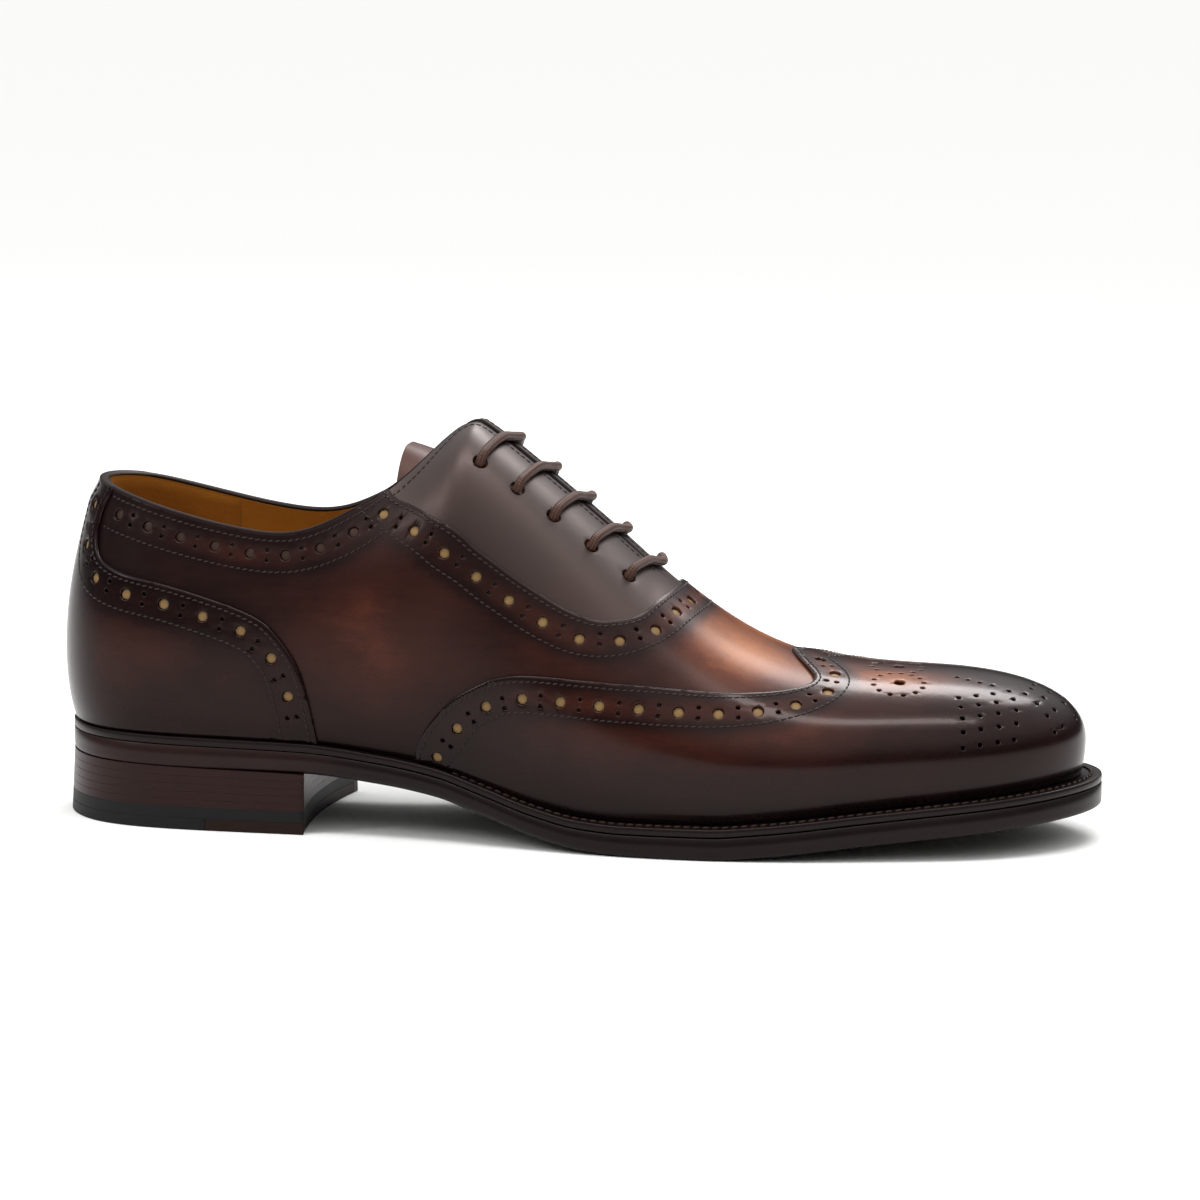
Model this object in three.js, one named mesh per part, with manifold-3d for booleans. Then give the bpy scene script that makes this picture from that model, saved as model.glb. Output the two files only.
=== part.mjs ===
// Wingtip oxford, one shoe, in millimetres.
// +X runs to the toe, +Y to the inner side of the foot, +Z up.
// The origin is the centre of the heel's resting face, so the floor is z = 0.
import * as THREE from "three";
import { mergeVertices } from "three/addons/utils/BufferGeometryUtils.js";
import Module from "manifold-3d";

const solids = await Module();
solids.setup();

// Driving sizes of the last and of the sole under it.
const lastLength = 289;
const ballWidth = 88;
const instepHeight = 117;
const heelStack = 18;
const toeSpring = 9.5;
const weltThickness = 2.2;
const outsoleThickness = 6.3;
const weltReach = 8.8;
const heelLength = 77;
const heelBackReach = 3.2;
const topPieceThickness = 6.6;
const slitWidth = 5;
const wallThickness = 1.8;
const layerThickness = 1.0;
const pieceGap = 0.3;

// The sole's own thickness, and where the back of the last stands.
const solePack = weltThickness + pieceGap + outsoleThickness;
const lastBack = heelBackReach - heelLength / 2;

// The underside of the outsole, from heel to toe.
// along is a share of the last's length, heel a share of the heel stack, spring of the toe spring.
const undersideRows = [
  { along: -0.02, heel: 1.02, spring: 0 },
  { along: 0.1, heel: 1.0, spring: 0 },
  { along: 0.25, heel: 0.96, spring: 0 },
  { along: 0.33, heel: 0.84, spring: 0 },
  { along: 0.39, heel: 0.69, spring: 0 },
  { along: 0.44, heel: 0.45, spring: 0 },
  { along: 0.49, heel: 0.2, spring: 0 },
  { along: 0.54, heel: 0.04, spring: 0 },
  { along: 0.585, heel: 0, spring: 0 },
  { along: 0.665, heel: 0, spring: 0 },
  { along: 0.72, heel: 0, spring: 0.12 },
  { along: 0.82, heel: 0, spring: 0.47 },
  { along: 0.91, heel: 0, spring: 0.75 },
  { along: 1.0, heel: 0, spring: 0.97 },
  { along: 1.03, heel: 0, spring: 1.03 },
];

// The last, ray by ray: ring 0 is the back of the heel and ring 12 the tip of the toe.
// along places the feather line and crest the inner end of the ray, as shares of the last's length.
// outer and inner are the feather line's distances from the axis on the two sides of the foot;
// drift is the crest's own shift to the inner side, all three as shares of the ball's width.
// outerSwell and innerSwell are how far the wall leans out past the feather line, swellUp how high,
// in the same shares; side and top are the fullness of the wall and of the upper curve.
const lastRows = [
  { along: 0, outer: 0, inner: 0, crest: 0.105, drift: 0,
    outerSwell: 0.0295, innerSwell: 0.0295, swellUp: 0.22, side: 0.4, top: 0.35 },
  { along: 0.018, outer: 0.172, inner: 0.172, crest: 0.108, drift: 0,
    outerSwell: 0.0295, innerSwell: 0.0295, swellUp: 0.22, side: 0.4, top: 0.35 },
  { along: 0.06, outer: 0.284, inner: 0.284, crest: 0.115, drift: 0,
    outerSwell: 0.027, innerSwell: 0.029, swellUp: 0.22, side: 0.4, top: 0.35 },
  { along: 0.13, outer: 0.326, inner: 0.32, crest: 0.15, drift: 0,
    outerSwell: 0.023, innerSwell: 0.028, swellUp: 0.22, side: 0.4, top: 0.35 },
  { along: 0.225, outer: 0.332, inner: 0.31, crest: 0.225, drift: 0,
    outerSwell: 0.021, innerSwell: 0.036, swellUp: 0.24, side: 0.4, top: 0.35 },
  { along: 0.33, outer: 0.345, inner: 0.29, crest: 0.33, drift: 0,
    outerSwell: 0.031, innerSwell: 0.078, swellUp: 0.26, side: 0.42, top: 0.35 },
  { along: 0.44, outer: 0.385, inner: 0.345, crest: 0.44, drift: 0,
    outerSwell: 0.028, innerSwell: 0.078, swellUp: 0.27, side: 0.45, top: 0.35 },
  { along: 0.55, outer: 0.432, inner: 0.45, crest: 0.55, drift: 0.01,
    outerSwell: 0.021, innerSwell: 0.047, swellUp: 0.22, side: 0.48, top: 0.38 },
  { along: 0.65, outer: 0.44, inner: 0.52, crest: 0.65, drift: 0.022,
    outerSwell: 0.018, innerSwell: 0.026, swellUp: 0.18, side: 0.52, top: 0.42 },
  { along: 0.75, outer: 0.408, inner: 0.515, crest: 0.745, drift: 0.037,
    outerSwell: 0.017, innerSwell: 0.021, swellUp: 0.15, side: 0.58, top: 0.46 },
  { along: 0.85, outer: 0.335, inner: 0.44, crest: 0.82, drift: 0.055,
    outerSwell: 0.017, innerSwell: 0.017, swellUp: 0.13, side: 0.62, top: 0.5 },
  { along: 0.94, outer: 0.222, inner: 0.345, crest: 0.87, drift: 0.067,
    outerSwell: 0.017, innerSwell: 0.017, swellUp: 0.12, side: 0.62, top: 0.5 },
  { along: 1, outer: -0.07, inner: 0.07, crest: 0.885, drift: 0.07,
    outerSwell: 0.017, innerSwell: 0.017, swellUp: 0.115, side: 0.62, top: 0.5 },
];

// The line of the instep from the top of the throat to the toe, as shares of the instep's height.
const crestRows = [
  { along: 0.36, up: 1.07 },
  { along: 0.42, up: 0.98 },
  { along: 0.48, up: 0.866 },
  { along: 0.54, up: 0.743 },
  { along: 0.6, up: 0.613 },
  { along: 0.66, up: 0.503 },
  { along: 0.72, up: 0.432 },
  { along: 0.8, up: 0.395 },
  { along: 0.88, up: 0.387 },
  { along: 0.94, up: 0.377 },
];

// The collar, ring by ring: reach is its distance from the axis as a share of the ball's width,
// up its height as a share of the instep's height, lean how far the wall tips in there, in degrees.
const collarRows = [
  { ring: 0, reach: 0.27, up: 0.836, lean: 12 },
  { ring: 1, reach: 0.272, up: 0.829, lean: 12 },
  { ring: 2, reach: 0.276, up: 0.808, lean: 11 },
  { ring: 3, reach: 0.29, up: 0.768, lean: 10 },
  { ring: 3.7, reach: 0.296, up: 0.738, lean: 10 },
  { ring: 4.2, reach: 0.298, up: 0.738, lean: 12 },
  { ring: 4.5, reach: 0.286, up: 0.765, lean: 18 },
  { ring: 4.75, reach: 0.262, up: 0.799, lean: 27 },
  { ring: 5, reach: 0.226, up: 0.84, lean: 38 },
  { ring: 5.25, reach: 0.168, up: 0.898, lean: 52 },
  { ring: 5.5, reach: 0.085, up: 0.966, lean: 72 },
  { ring: 5.7, reach: 0.015, up: 1.012, lean: 86 },
  { ring: 5.9, reach: -0.06, up: 1.08, lean: 90 },
  { ring: 6.3, reach: -0.2, up: 1.22, lean: 90 },
];

// Where the throat's slit ends on the instep, and how softly its upper corners are rounded.
const slitEnd = 0.59;
const slitStart = 0.375;
const cornerRound = 0.05;

// How the wall leaves the feather line and how it reaches its widest, as shares of swell and rise.
const wallStart = { out: 0.6, up: 0.25 };
const wallEnd = 0.45;

// Rings run from 0 at the back of the heel out to the toe and home again on the inner side.
const toeRing = 12;
const rings = 2 * toeRing;
// Past the last collar row the collar's columns stay as they are from this ring on.
const collarEnd = 7.5;

// A smooth curve through rows of any spacing, with straight ends.
function curveThrough(at, values) {
  const last = at.length - 1;
  const bend = new Array(last + 1).fill(0);
  const carry = new Array(last + 1).fill(0);
  const rest = new Array(last + 1).fill(0);
  for (let i = 1; i < last; i += 1) {
    const before = at[i] - at[i - 1];
    const after = at[i + 1] - at[i];
    const turn = (values[i + 1] - values[i]) / after - (values[i] - values[i - 1]) / before;
    const pivot = 2 * (before + after) - before * carry[i - 1];
    carry[i] = after / pivot;
    rest[i] = (6 * turn - before * rest[i - 1]) / pivot;
  }
  for (let i = last - 1; i > 0; i -= 1) bend[i] = rest[i] - carry[i] * bend[i + 1];
  return (x) => {
    let i = 0;
    while (i < last - 1 && x > at[i + 1]) i += 1;
    const span = at[i + 1] - at[i];
    const b = (x - at[i]) / span;
    const a = 1 - b;
    if (a > 1) return values[i] + b * (values[i + 1] - values[i] - (bend[i + 1] * span * span) / 6);
    return a * values[i] + b * values[i + 1] +
      (((a ** 3 - a) * bend[i] + (b ** 3 - b) * bend[i + 1]) * span * span) / 6;
  };
}

// The same round a closed ring: the rows are repeated past both ends.
function curveAround(at, values) {
  const places = [];
  const heights = [];
  for (let turn = -1; turn <= 1; turn += 1) {
    at.forEach((place, i) => {
      places.push(place + turn * rings);
      heights.push(values[i]);
    });
  }
  return curveThrough(places, heights);
}

// A curve through rows that never overshoots them, so a level stretch stays level.
function levelCurve(at, values) {
  const slopes = values.map((value, i) => {
    if (i === 0 || i === values.length - 1) return 0;
    const before = (value - values[i - 1]) / (at[i] - at[i - 1]);
    const after = (values[i + 1] - value) / (at[i + 1] - at[i]);
    return before * after > 0 ? (2 * before * after) / (before + after) : 0;
  });
  const end = values.length - 1;
  slopes[end] = (values[end] - values[end - 1]) / (at[end] - at[end - 1]);
  return (x) => {
    let i = 0;
    while (i < at.length - 2 && x > at[i + 1]) i += 1;
    const span = at[i + 1] - at[i];
    const s = (x - at[i]) / span;
    if (s < 0) return values[0];
    return (
      values[i] * (1 + 2 * s) * (1 - s) ** 2 + slopes[i] * span * s * (1 - s) ** 2 +
      values[i + 1] * s * s * (3 - 2 * s) + slopes[i + 1] * span * s * s * (s - 1)
    );
  };
}

// Rows 0 to 12 run along the outer side; the inner side comes back with its own column.
function roundTheLast(outer, inner) {
  const at = Array.from({ length: rings }, (_, i) => i);
  return curveAround(at, at.map((i) => (i <= toeRing ? outer(lastRows[i]) : inner(lastRows[rings - i]))));
}

function roundTheCollar(column) {
  const there = collarRows.map((row) => ({ ring: row.ring, value: row[column] }));
  const front = [collarEnd, toeRing].map((ring) => ({ ring, value: there[there.length - 1].value }));
  const half = [...there, ...front];
  const back = half.slice(1, -1).reverse().map((row) => ({ ring: rings - row.ring, value: row.value }));
  const all = [...half, ...back];
  return curveAround(all.map((row) => row.ring), all.map((row) => row.value));
}

const featherX = roundTheLast((row) => row.along, (row) => row.along);
const featherY = roundTheLast((row) => -row.outer, (row) => row.inner);
const crestX = roundTheLast((row) => row.crest, (row) => row.crest);
const crestY = roundTheLast((row) => row.drift, (row) => row.drift);
const swell = roundTheLast((row) => row.outerSwell, (row) => row.innerSwell);
const swellUp = roundTheLast((row) => row.swellUp, (row) => row.swellUp);
const sideFull = roundTheLast((row) => row.side, (row) => row.side);
const topFull = roundTheLast((row) => row.top, (row) => row.top);
const collarReach = roundTheCollar("reach");
const collarUp = roundTheCollar("up");
const collarLean = roundTheCollar("lean");
const heelPart = levelCurve(undersideRows.map((row) => row.along), undersideRows.map((row) => row.heel));
const springPart = levelCurve(undersideRows.map((row) => row.along), undersideRows.map((row) => row.spring));
const crestUp = curveThrough(crestRows.map((row) => row.along), crestRows.map((row) => row.up));

const alongOf = (x) => (x - lastBack) / lastLength;
const underside = (x) => heelPart(alongOf(x)) * heelStack + springPart(alongOf(x)) * toeSpring;
const soleTop = (x) => underside(x) + solePack;

// The lower and the higher of two values, rounded where they meet.
function softMin(a, b, round) {
  const h = Math.max(round - Math.abs(a - b), 0) / round;
  return Math.min(a, b) - (h * h * round) / 4;
}
const softMax = (a, b, round) => -softMin(-a, -b, round);

function slitHalf(along) {
  if (along >= slitEnd) return 0;
  const open = Math.min(1, (slitEnd - along) / (slitEnd - slitStart));
  return (slitWidth / 2) * Math.sqrt(open);
}

const bezier = (p, s) =>
  p[0].clone().multiplyScalar((1 - s) ** 3)
    .addScaledVector(p[1], 3 * s * (1 - s) ** 2)
    .addScaledVector(p[2], 3 * s * s * (1 - s))
    .addScaledVector(p[3], s ** 3);

// Small steps over which directions are measured: along the last, round the rings, up a ray.
const slopeStep = 0.01;
const ringStep = 0.04;
const shareStep = 0.04;
// Chords by which each half of a ray is measured.
const raySteps = 24;

// One ray of the last's surface, from the feather line up to the collar, the slit or the crest.
const rayStore = new Map();
function rayAt(ring) {
  const key = Math.round(ring * 1e6);
  if (rayStore.has(key)) return rayStore.get(key);
  const along = crestX(ring);
  const crest = new THREE.Vector2(lastBack + along * lastLength, crestY(ring) * ballWidth);
  const foot = new THREE.Vector2(lastBack + featherX(ring) * lastLength, featherY(ring) * ballWidth);
  const inward = crest.clone().sub(foot).normalize();
  const flat = new THREE.Vector3(inward.x, inward.y, 0);
  const round = cornerRound * instepHeight;
  const rim = Math.max(0, softMax(collarReach(ring) * ballWidth, slitHalf(along), round));
  const reach = along >= slitEnd ? 0 : rim;
  const up = softMin(collarUp(ring), crestUp(along), cornerRound) * instepHeight;
  const climb = crestUp(along + slopeStep) - crestUp(along - slopeStep);
  const slope = (climb * instepHeight) / (2 * slopeStep * lastLength);
  const lean = THREE.MathUtils.degToRad(Math.min(90, collarLean(ring)));
  const end = new THREE.Vector3(crest.x - inward.x * reach, crest.y - inward.y * reach, up);
  const heading = new THREE.Vector3(0, 0, Math.cos(lean))
    .addScaledVector(new THREE.Vector3(inward.x, inward.y, slope * inward.x), Math.sin(lean))
    .normalize();
  const start = new THREE.Vector3(foot.x, foot.y, soleTop(foot.x) + pieceGap);
  const out = swell(ring) * ballWidth;
  const rise = swellUp(ring) * ballWidth;
  const widest = start.clone().addScaledVector(flat, -out);
  widest.z += rise;
  const span = widest.distanceTo(end);
  const lower = [
    start,
    start.clone().addScaledVector(flat, -out * wallStart.out).setZ(start.z + rise * wallStart.up),
    widest.clone().setZ(widest.z - rise * wallEnd),
    widest,
  ];
  const upper = [
    widest,
    widest.clone().setZ(widest.z + sideFull(ring) * (end.z - widest.z)),
    end.clone().addScaledVector(heading, -topFull(ring) * span),
    end,
  ];
  const marks = [{ s: 0, length: 0 }];
  let before = start;
  for (let i = 1; i <= 2 * raySteps; i += 1) {
    const s = i / raySteps;
    const point = s <= 1 ? bezier(lower, s) : bezier(upper, s - 1);
    marks.push({ s, length: marks[i - 1].length + point.distanceTo(before) });
    before = point;
  }
  const whole = marks[marks.length - 1].length;
  const ray = {
    length: whole,
    at(share) {
      const want = share * whole;
      let i = 0;
      while (i < marks.length - 2 && marks[i + 1].length < want) i += 1;
      const part = (want - marks[i].length) / (marks[i + 1].length - marks[i].length);
      const s = marks[i].s + (marks[i + 1].s - marks[i].s) * part;
      return s <= 1 ? bezier(lower, s) : bezier(upper, Math.min(1, s - 1));
    },
  };
  rayStore.set(key, ray);
  return ray;
}

// The rings where the sheet has its columns, on the outer side and mirrored on the inner side.
const spans = [
  { from: 0, to: 3, steps: 6 },
  { from: 3, to: 5, steps: 5 },
  { from: 5, to: 6, steps: 5 },
  { from: 6, to: 7.4, steps: 4 },
  { from: 7.4, to: 9, steps: 4 },
  { from: 9, to: 12, steps: 8 },
];
const columns = [0];
for (const { from, to, steps } of spans) {
  for (let i = 1; i <= steps; i += 1) columns.push(from + ((to - from) * i) / steps);
}
const allColumns = [...columns, ...columns.slice(1, -1).reverse().map((ring) => rings - ring)];
const rowsUp = 10;

// The last's surface as one sheet of triangles: points, their ring and share, and faces.
function makeSheet() {
  const points = [];
  const faces = [];
  const grid = allColumns.map((ring) => {
    const ray = rayAt(ring);
    return Array.from({ length: rowsUp + 1 }, (_, j) => {
      points.push({ p: ray.at(j / rowsUp), ring, share: j / rowsUp });
      return points.length - 1;
    });
  });
  // The two sides share one point wherever they meet on the crest.
  const half = columns.length - 1;
  for (let i = 1; i < half; i += 1) {
    const twin = allColumns.length - i;
    if (points[grid[i][rowsUp]].p.distanceTo(points[grid[twin][rowsUp]].p) < 1e-6) {
      grid[twin][rowsUp] = grid[i][rowsUp];
    }
  }
  for (let i = 0; i < allColumns.length; i += 1) {
    const next = (i + 1) % allColumns.length;
    for (let j = 0; j < rowsUp; j += 1) {
      const quad = [grid[i][j], grid[next][j], grid[next][j + 1], grid[i][j + 1]];
      faces.push([quad[0], quad[1], quad[2]], [quad[0], quad[2], quad[3]]);
    }
  }
  return { points, faces: faces.filter(([a, b, c]) => a !== b && b !== c && c !== a) };
}

// Outward directions at the points of a sheet, each the mean of the faces round it.
function sheetNormals(sheet) {
  const normals = sheet.points.map(() => new THREE.Vector3());
  for (const [a, b, c] of sheet.faces) {
    const pa = sheet.points[a].p;
    const turn = sheet.points[b].p.clone().sub(pa).cross(sheet.points[c].p.clone().sub(pa));
    for (const corner of [a, b, c]) normals[corner].add(turn);
  }
  normals.forEach((normal, i) => {
    if (sheet.points[i].share === 0) normal.z = 0;
    sheet.points[i].n = normal.normalize();
  });
}

// A sheet given thickness: its outer face, its inner face, and a rim along every free edge.
function thicken(sheet, innerAt, outerAt) {
  const count = sheet.points.length;
  const position = [];
  for (const level of [outerAt, innerAt]) {
    for (const { p, n } of sheet.points) position.push(...p.clone().addScaledVector(n, level).toArray());
  }
  const index = [];
  const free = new Map();
  for (const [a, b, c] of sheet.faces) {
    index.push(a, b, c, a + count, c + count, b + count);
    for (const [from, to] of [[a, b], [b, c], [c, a]]) {
      if (free.has(to + "_" + from)) free.delete(to + "_" + from);
      else free.set(from + "_" + to, [from, to]);
    }
  }
  for (const [from, to] of free.values()) {
    index.push(from, from + count, to + count, from, to + count, to);
  }
  return geometryOf(position, index);
}

function geometryOf(position, index) {
  const geometry = new THREE.BufferGeometry();
  geometry.setAttribute("position", new THREE.Float32BufferAttribute(position, 3));
  geometry.setIndex(index);
  return geometry;
}

const group = new THREE.Group();
function addPart(name, geometry, color, roughness) {
  geometry.computeVertexNormals();
  const mesh = new THREE.Mesh(geometry, new THREE.MeshStandardMaterial({ color, roughness, metalness: 0 }));
  mesh.name = name;
  group.add(mesh);
}

// The free edges of the panels on one side, as ring and share up the ray; the other side mirrors them.
const counterEdge = [
  { ring: 1.5, share: 1.04 },
  { ring: 1.4, share: 0.94 },
  { ring: 1.33, share: 0.83 },
  { ring: 1.44, share: 0.75 },
  { ring: 1.72, share: 0.697 },
  { ring: 2.2, share: 0.675 },
  { ring: 2.75, share: 0.673 },
  { ring: 3.34, share: 0.649 },
  { ring: 3.75, share: 0.606 },
  { ring: 4.0, share: 0.53 },
  { ring: 4.2, share: 0.4 },
  { ring: 4.34, share: 0.2 },
  { ring: 4.43, share: -0.04 },
];
const wingEdge = [
  { ring: 5.35, share: -0.04 },
  { ring: 5.41, share: 0.07 },
  { ring: 5.6, share: 0.155 },
  { ring: 5.95, share: 0.256 },
  { ring: 6.29, share: 0.33 },
  { ring: 6.98, share: 0.405 },
  { ring: 8.05, share: 0.488 },
  { ring: 8.62, share: 0.548 },
  { ring: 8.95, share: 0.615 },
  { ring: 9.07, share: 0.7 },
  { ring: 9.0, share: 0.782 },
  { ring: 8.87, share: 0.877 },
  { ring: 8.7, share: 1.04 },
];
const throatEdge = [
  { ring: 4.98, share: 1.04 },
  { ring: 5.16, share: 0.89 },
  { ring: 5.45, share: 0.71 },
  { ring: 5.72, share: 0.625 },
  { ring: 6.1, share: 0.59 },
  { ring: 6.67, share: 0.574 },
  { ring: 6.91, share: 0.581 },
  { ring: 7.1, share: 0.607 },
  { ring: 7.28, share: 0.652 },
  { ring: 7.44, share: 0.75 },
  { ring: 7.54, share: 0.876 },
  { ring: 7.57, share: 1.04 },
];

// Points drawn to each row of an edge, halvings to find where it crosses a face's side,
// and how near a face's corner such a crossing may come.
const edgeSteps = 8;
const halvings = 14;
const cornerStay = 0.02;

// A smooth line through an edge's rows, closed by the corners that finish its region.
function region(rows, closing) {
  const at = [0];
  for (let i = 1; i < rows.length; i += 1) {
    const up = toeRing * (rows[i].share - rows[i - 1].share);
    at.push(at[i - 1] + Math.hypot(rows[i].ring - rows[i - 1].ring, up));
  }
  const ring = curveThrough(at, rows.map((row) => row.ring));
  const share = curveThrough(at, rows.map((row) => row.share));
  const steps = edgeSteps * rows.length;
  const line = Array.from({ length: steps + 1 }, (_, i) => {
    const s = (at[at.length - 1] * i) / steps;
    return { ring: ring(s), share: share(s) };
  });
  const corners = [...line, ...closing];
  return (point) => {
    let inside = false;
    corners.forEach((a, i) => {
      const b = corners[(i + 1) % corners.length];
      if (a.share > point.share === b.share > point.share) return;
      const cross = a.ring + ((point.share - a.share) / (b.share - a.share)) * (b.ring - a.ring);
      if (point.ring < cross) inside = !inside;
    });
    return inside;
  };
}
const [below, above] = [-0.04, 1.04];
const inCounter = region(counterEdge, [{ ring: -1, share: below }, { ring: -1, share: above }]);
const inWing = region(wingEdge, [{ ring: toeRing + 1, share: above }, { ring: toeRing + 1, share: below }]);
const inFacing = region(throatEdge, []);

// The part of a sheet where keep holds, cut cleanly along the edge of the region.
function cutSheet(source, keep) {
  const points = [];
  const faces = [];
  const made = new Map();
  const kept = source.points.map((point) => keep(point));
  const take = (key, build) => {
    if (!made.has(key)) {
      made.set(key, points.length);
      points.push(build());
    }
    return made.get(key);
  };
  const between = (i, j) => {
    const [a, b] = i < j ? [i, j] : [j, i];
    return take(a + "_" + b, () => {
      const mix = (s) => ({
        p: source.points[a].p.clone().lerp(source.points[b].p, s),
        n: source.points[a].n.clone().lerp(source.points[b].n, s),
        ring: THREE.MathUtils.lerp(source.points[a].ring, source.points[b].ring, s),
        share: THREE.MathUtils.lerp(source.points[a].share, source.points[b].share, s),
      });
      let low = 0;
      let high = 1;
      for (let step = 0; step < halvings; step += 1) {
        const middle = (low + high) / 2;
        if (keep(mix(middle)) === kept[a]) low = middle;
        else high = middle;
      }
      return mix(THREE.MathUtils.clamp((low + high) / 2, cornerStay, 1 - cornerStay));
    });
  };
  for (const face of source.faces) {
    const corners = [];
    face.forEach((i, k) => {
      const j = face[(k + 1) % 3];
      if (kept[i]) corners.push(take("v" + i, () => source.points[i]));
      if (kept[i] !== kept[j]) corners.push(between(i, j));
    });
    for (let k = 2; k < corners.length; k += 1) faces.push([corners[0], corners[k - 1], corners[k]]);
  }
  return { points, faces };
}

// A place on the last: the point, its outward direction, and the way up the ray.
function placeAt(ring, share) {
  const point = rayAt(ring).at(share);
  const above = rayAt(ring).at(Math.min(1, share + shareStep));
  const up = above.sub(rayAt(ring).at(share - shareStep)).normalize();
  const along = rayAt(ring + ringStep).at(share).sub(rayAt(ring - ringStep).at(share)).normalize();
  return { point, out: along.cross(up).normalize(), up };
}

function toSolid(geometry) {
  const bare = new THREE.BufferGeometry();
  bare.setAttribute("position", geometry.getAttribute("position"));
  bare.setIndex(geometry.index);
  const welded = mergeVertices(bare, 1e-4);
  return new solids.Manifold(
    new solids.Mesh({
      numProp: 3,
      vertProperties: welded.getAttribute("position").array,
      triVerts: new Uint32Array(welded.index.array),
    }),
  );
}

function fromSolid(solid) {
  const mesh = solid.getMesh();
  return geometryOf(Array.from(mesh.vertProperties), Array.from(mesh.triVerts));
}

const sheet = makeSheet();
sheetNormals(sheet);
sheet.points.forEach((point) => {
  point.ring = Math.min(point.ring, rings - point.ring);
});

// Five pairs of eyelets, the inner side's set a little forward; each is a plain hole in the facing.
const eyeletRows = [
  { ring: 5.86, share: 0.831 },
  { ring: 6.19, share: 0.829 },
  { ring: 6.51, share: 0.827 },
  { ring: 6.85, share: 0.82 },
  { ring: 7.2, share: 0.814 },
];
const innerShift = 0.07;
const eyeletRadius = 2.1;
const laceRadius = 1.35;
const punchSides = 8;
const eyelets = eyeletRows.map(({ ring, share }) => [
  placeAt(ring, share),
  placeAt(rings - ring - innerShift, share),
]);

const upright = new THREE.Vector3(0, 1, 0);
let shell = toSolid(thicken(sheet, -wallThickness, 0));
for (const { point, out } of eyelets.flat()) {
  const punch = new THREE.CylinderGeometry(eyeletRadius, eyeletRadius, 6 * wallThickness, punchSides);
  punch.applyQuaternion(new THREE.Quaternion().setFromUnitVectors(upright, out));
  punch.translate(point.x, point.y, point.z);
  shell = shell.subtract(toSolid(punch));
}
const firstLayer = pieceGap;
const secondLayer = firstLayer + layerThickness + pieceGap;
addPart("upper", fromSolid(shell), 0x3d2c28, 0.42);
const panel = (keep, level) => thicken(cutSheet(sheet, keep), level, level + layerThickness);
addPart("quarters", panel((q) => !inFacing(q), firstLayer), 0x3a241c, 0.38);
addPart("heel_counter", panel(inCounter, secondLayer), 0x2b1b17, 0.34);
addPart("wing_cap", panel(inWing, secondLayer), 0x2f1d18, 0.32);

// Plan outline of the sole, set out from the feather line by a reach of its own at each ring.
const reachRows = [
  { outer: 0.36, inner: 0.36 },
  { outer: 0.385, inner: 0.385 },
  { outer: 0.41, inner: 0.41 },
  { outer: 0.45, inner: 0.44 },
  { outer: 0.48, inner: 0.42 },
  { outer: 0.52, inner: 0.34 },
  { outer: 0.68, inner: 0.38 },
  { outer: 0.9, inner: 0.72 },
  { outer: 1, inner: 1 },
  { outer: 1, inner: 1 },
  { outer: 1, inner: 1 },
  { outer: 1, inner: 1 },
  { outer: 1, inner: 1 },
];
const soleReach = curveAround(
  Array.from({ length: rings }, (_, i) => i),
  Array.from({ length: rings }, (_, i) => (i <= toeRing ? reachRows[i].outer : reachRows[rings - i].inner)),
);

function featherPoint(ring, out) {
  const at = (r) => new THREE.Vector2(lastBack + featherX(r) * lastLength, featherY(r) * ballWidth);
  const run = at(ring + ringStep).sub(at(ring - ringStep)).normalize();
  return at(ring).add(new THREE.Vector2(run.y, -run.x).multiplyScalar(out));
}

// A closed outline at a height, one point to each column of the sheet.
function outline(out, height) {
  return allColumns.map((ring) => {
    const p = featherPoint(ring, out(ring));
    return new THREE.Vector3(p.x, p.y, height(p.x));
  });
}

// A solid between loops of equal count, closed at both ends by a ladder of faces across the loop. Past
// its last rung the two rails' ends each take a fan of faces, so that a hollow end isn't folded over.
function stack(loops, rungs = loops[0].length / 2) {
  const count = loops[0].length;
  const middle = count / 2;
  const position = loops.flat().flatMap((p) => p.toArray());
  const index = [];
  loops.slice(1).forEach((_, k) => {
    for (let i = 0; i < count; i += 1) {
      const a = k * count + i;
      const b = k * count + ((i + 1) % count);
      index.push(a, b, b + count, a, b + count, a + count);
    }
  });
  const faces = [];
  for (let i = 0; i < rungs; i += 1) {
    const [a, b, c, d] = [i, i + 1, (count - i - 1) % count, (count - i) % count];
    faces.push([a, c, b], [a, d, c]);
  }
  if (rungs < middle) {
    faces.push([rungs, count - rungs, middle]);
    for (let k = rungs + 1; k < middle; k += 1) faces.push([rungs, k + 1, k]);
    for (let k = middle; k < count - rungs - 1; k += 1) faces.push([count - rungs, k + 1, k]);
  }
  const close = (base, turned) => {
    for (const face of faces.filter((corners) => new Set(corners).size === corners.length)) {
      const placed = face.map((k) => base + k);
      index.push(...(turned ? placed.reverse() : placed));
    }
  };
  close(0, false);
  close((loops.length - 1) * count, true);
  return geometryOf(position, index);
}

// A ring-shaped solid whose loops close on themselves.
function hoop(loops) {
  const count = loops[0].length;
  const position = loops.flat().flatMap((p) => p.toArray());
  const index = [];
  loops.forEach((_, k) => {
    const next = (k + 1) % loops.length;
    for (let i = 0; i < count; i += 1) {
      const j = (i + 1) % count;
      const quad = [k * count + i, k * count + j, next * count + j, next * count + i];
      index.push(quad[0], quad[1], quad[2], quad[0], quad[2], quad[3]);
    }
  });
  return geometryOf(position, index);
}

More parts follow.
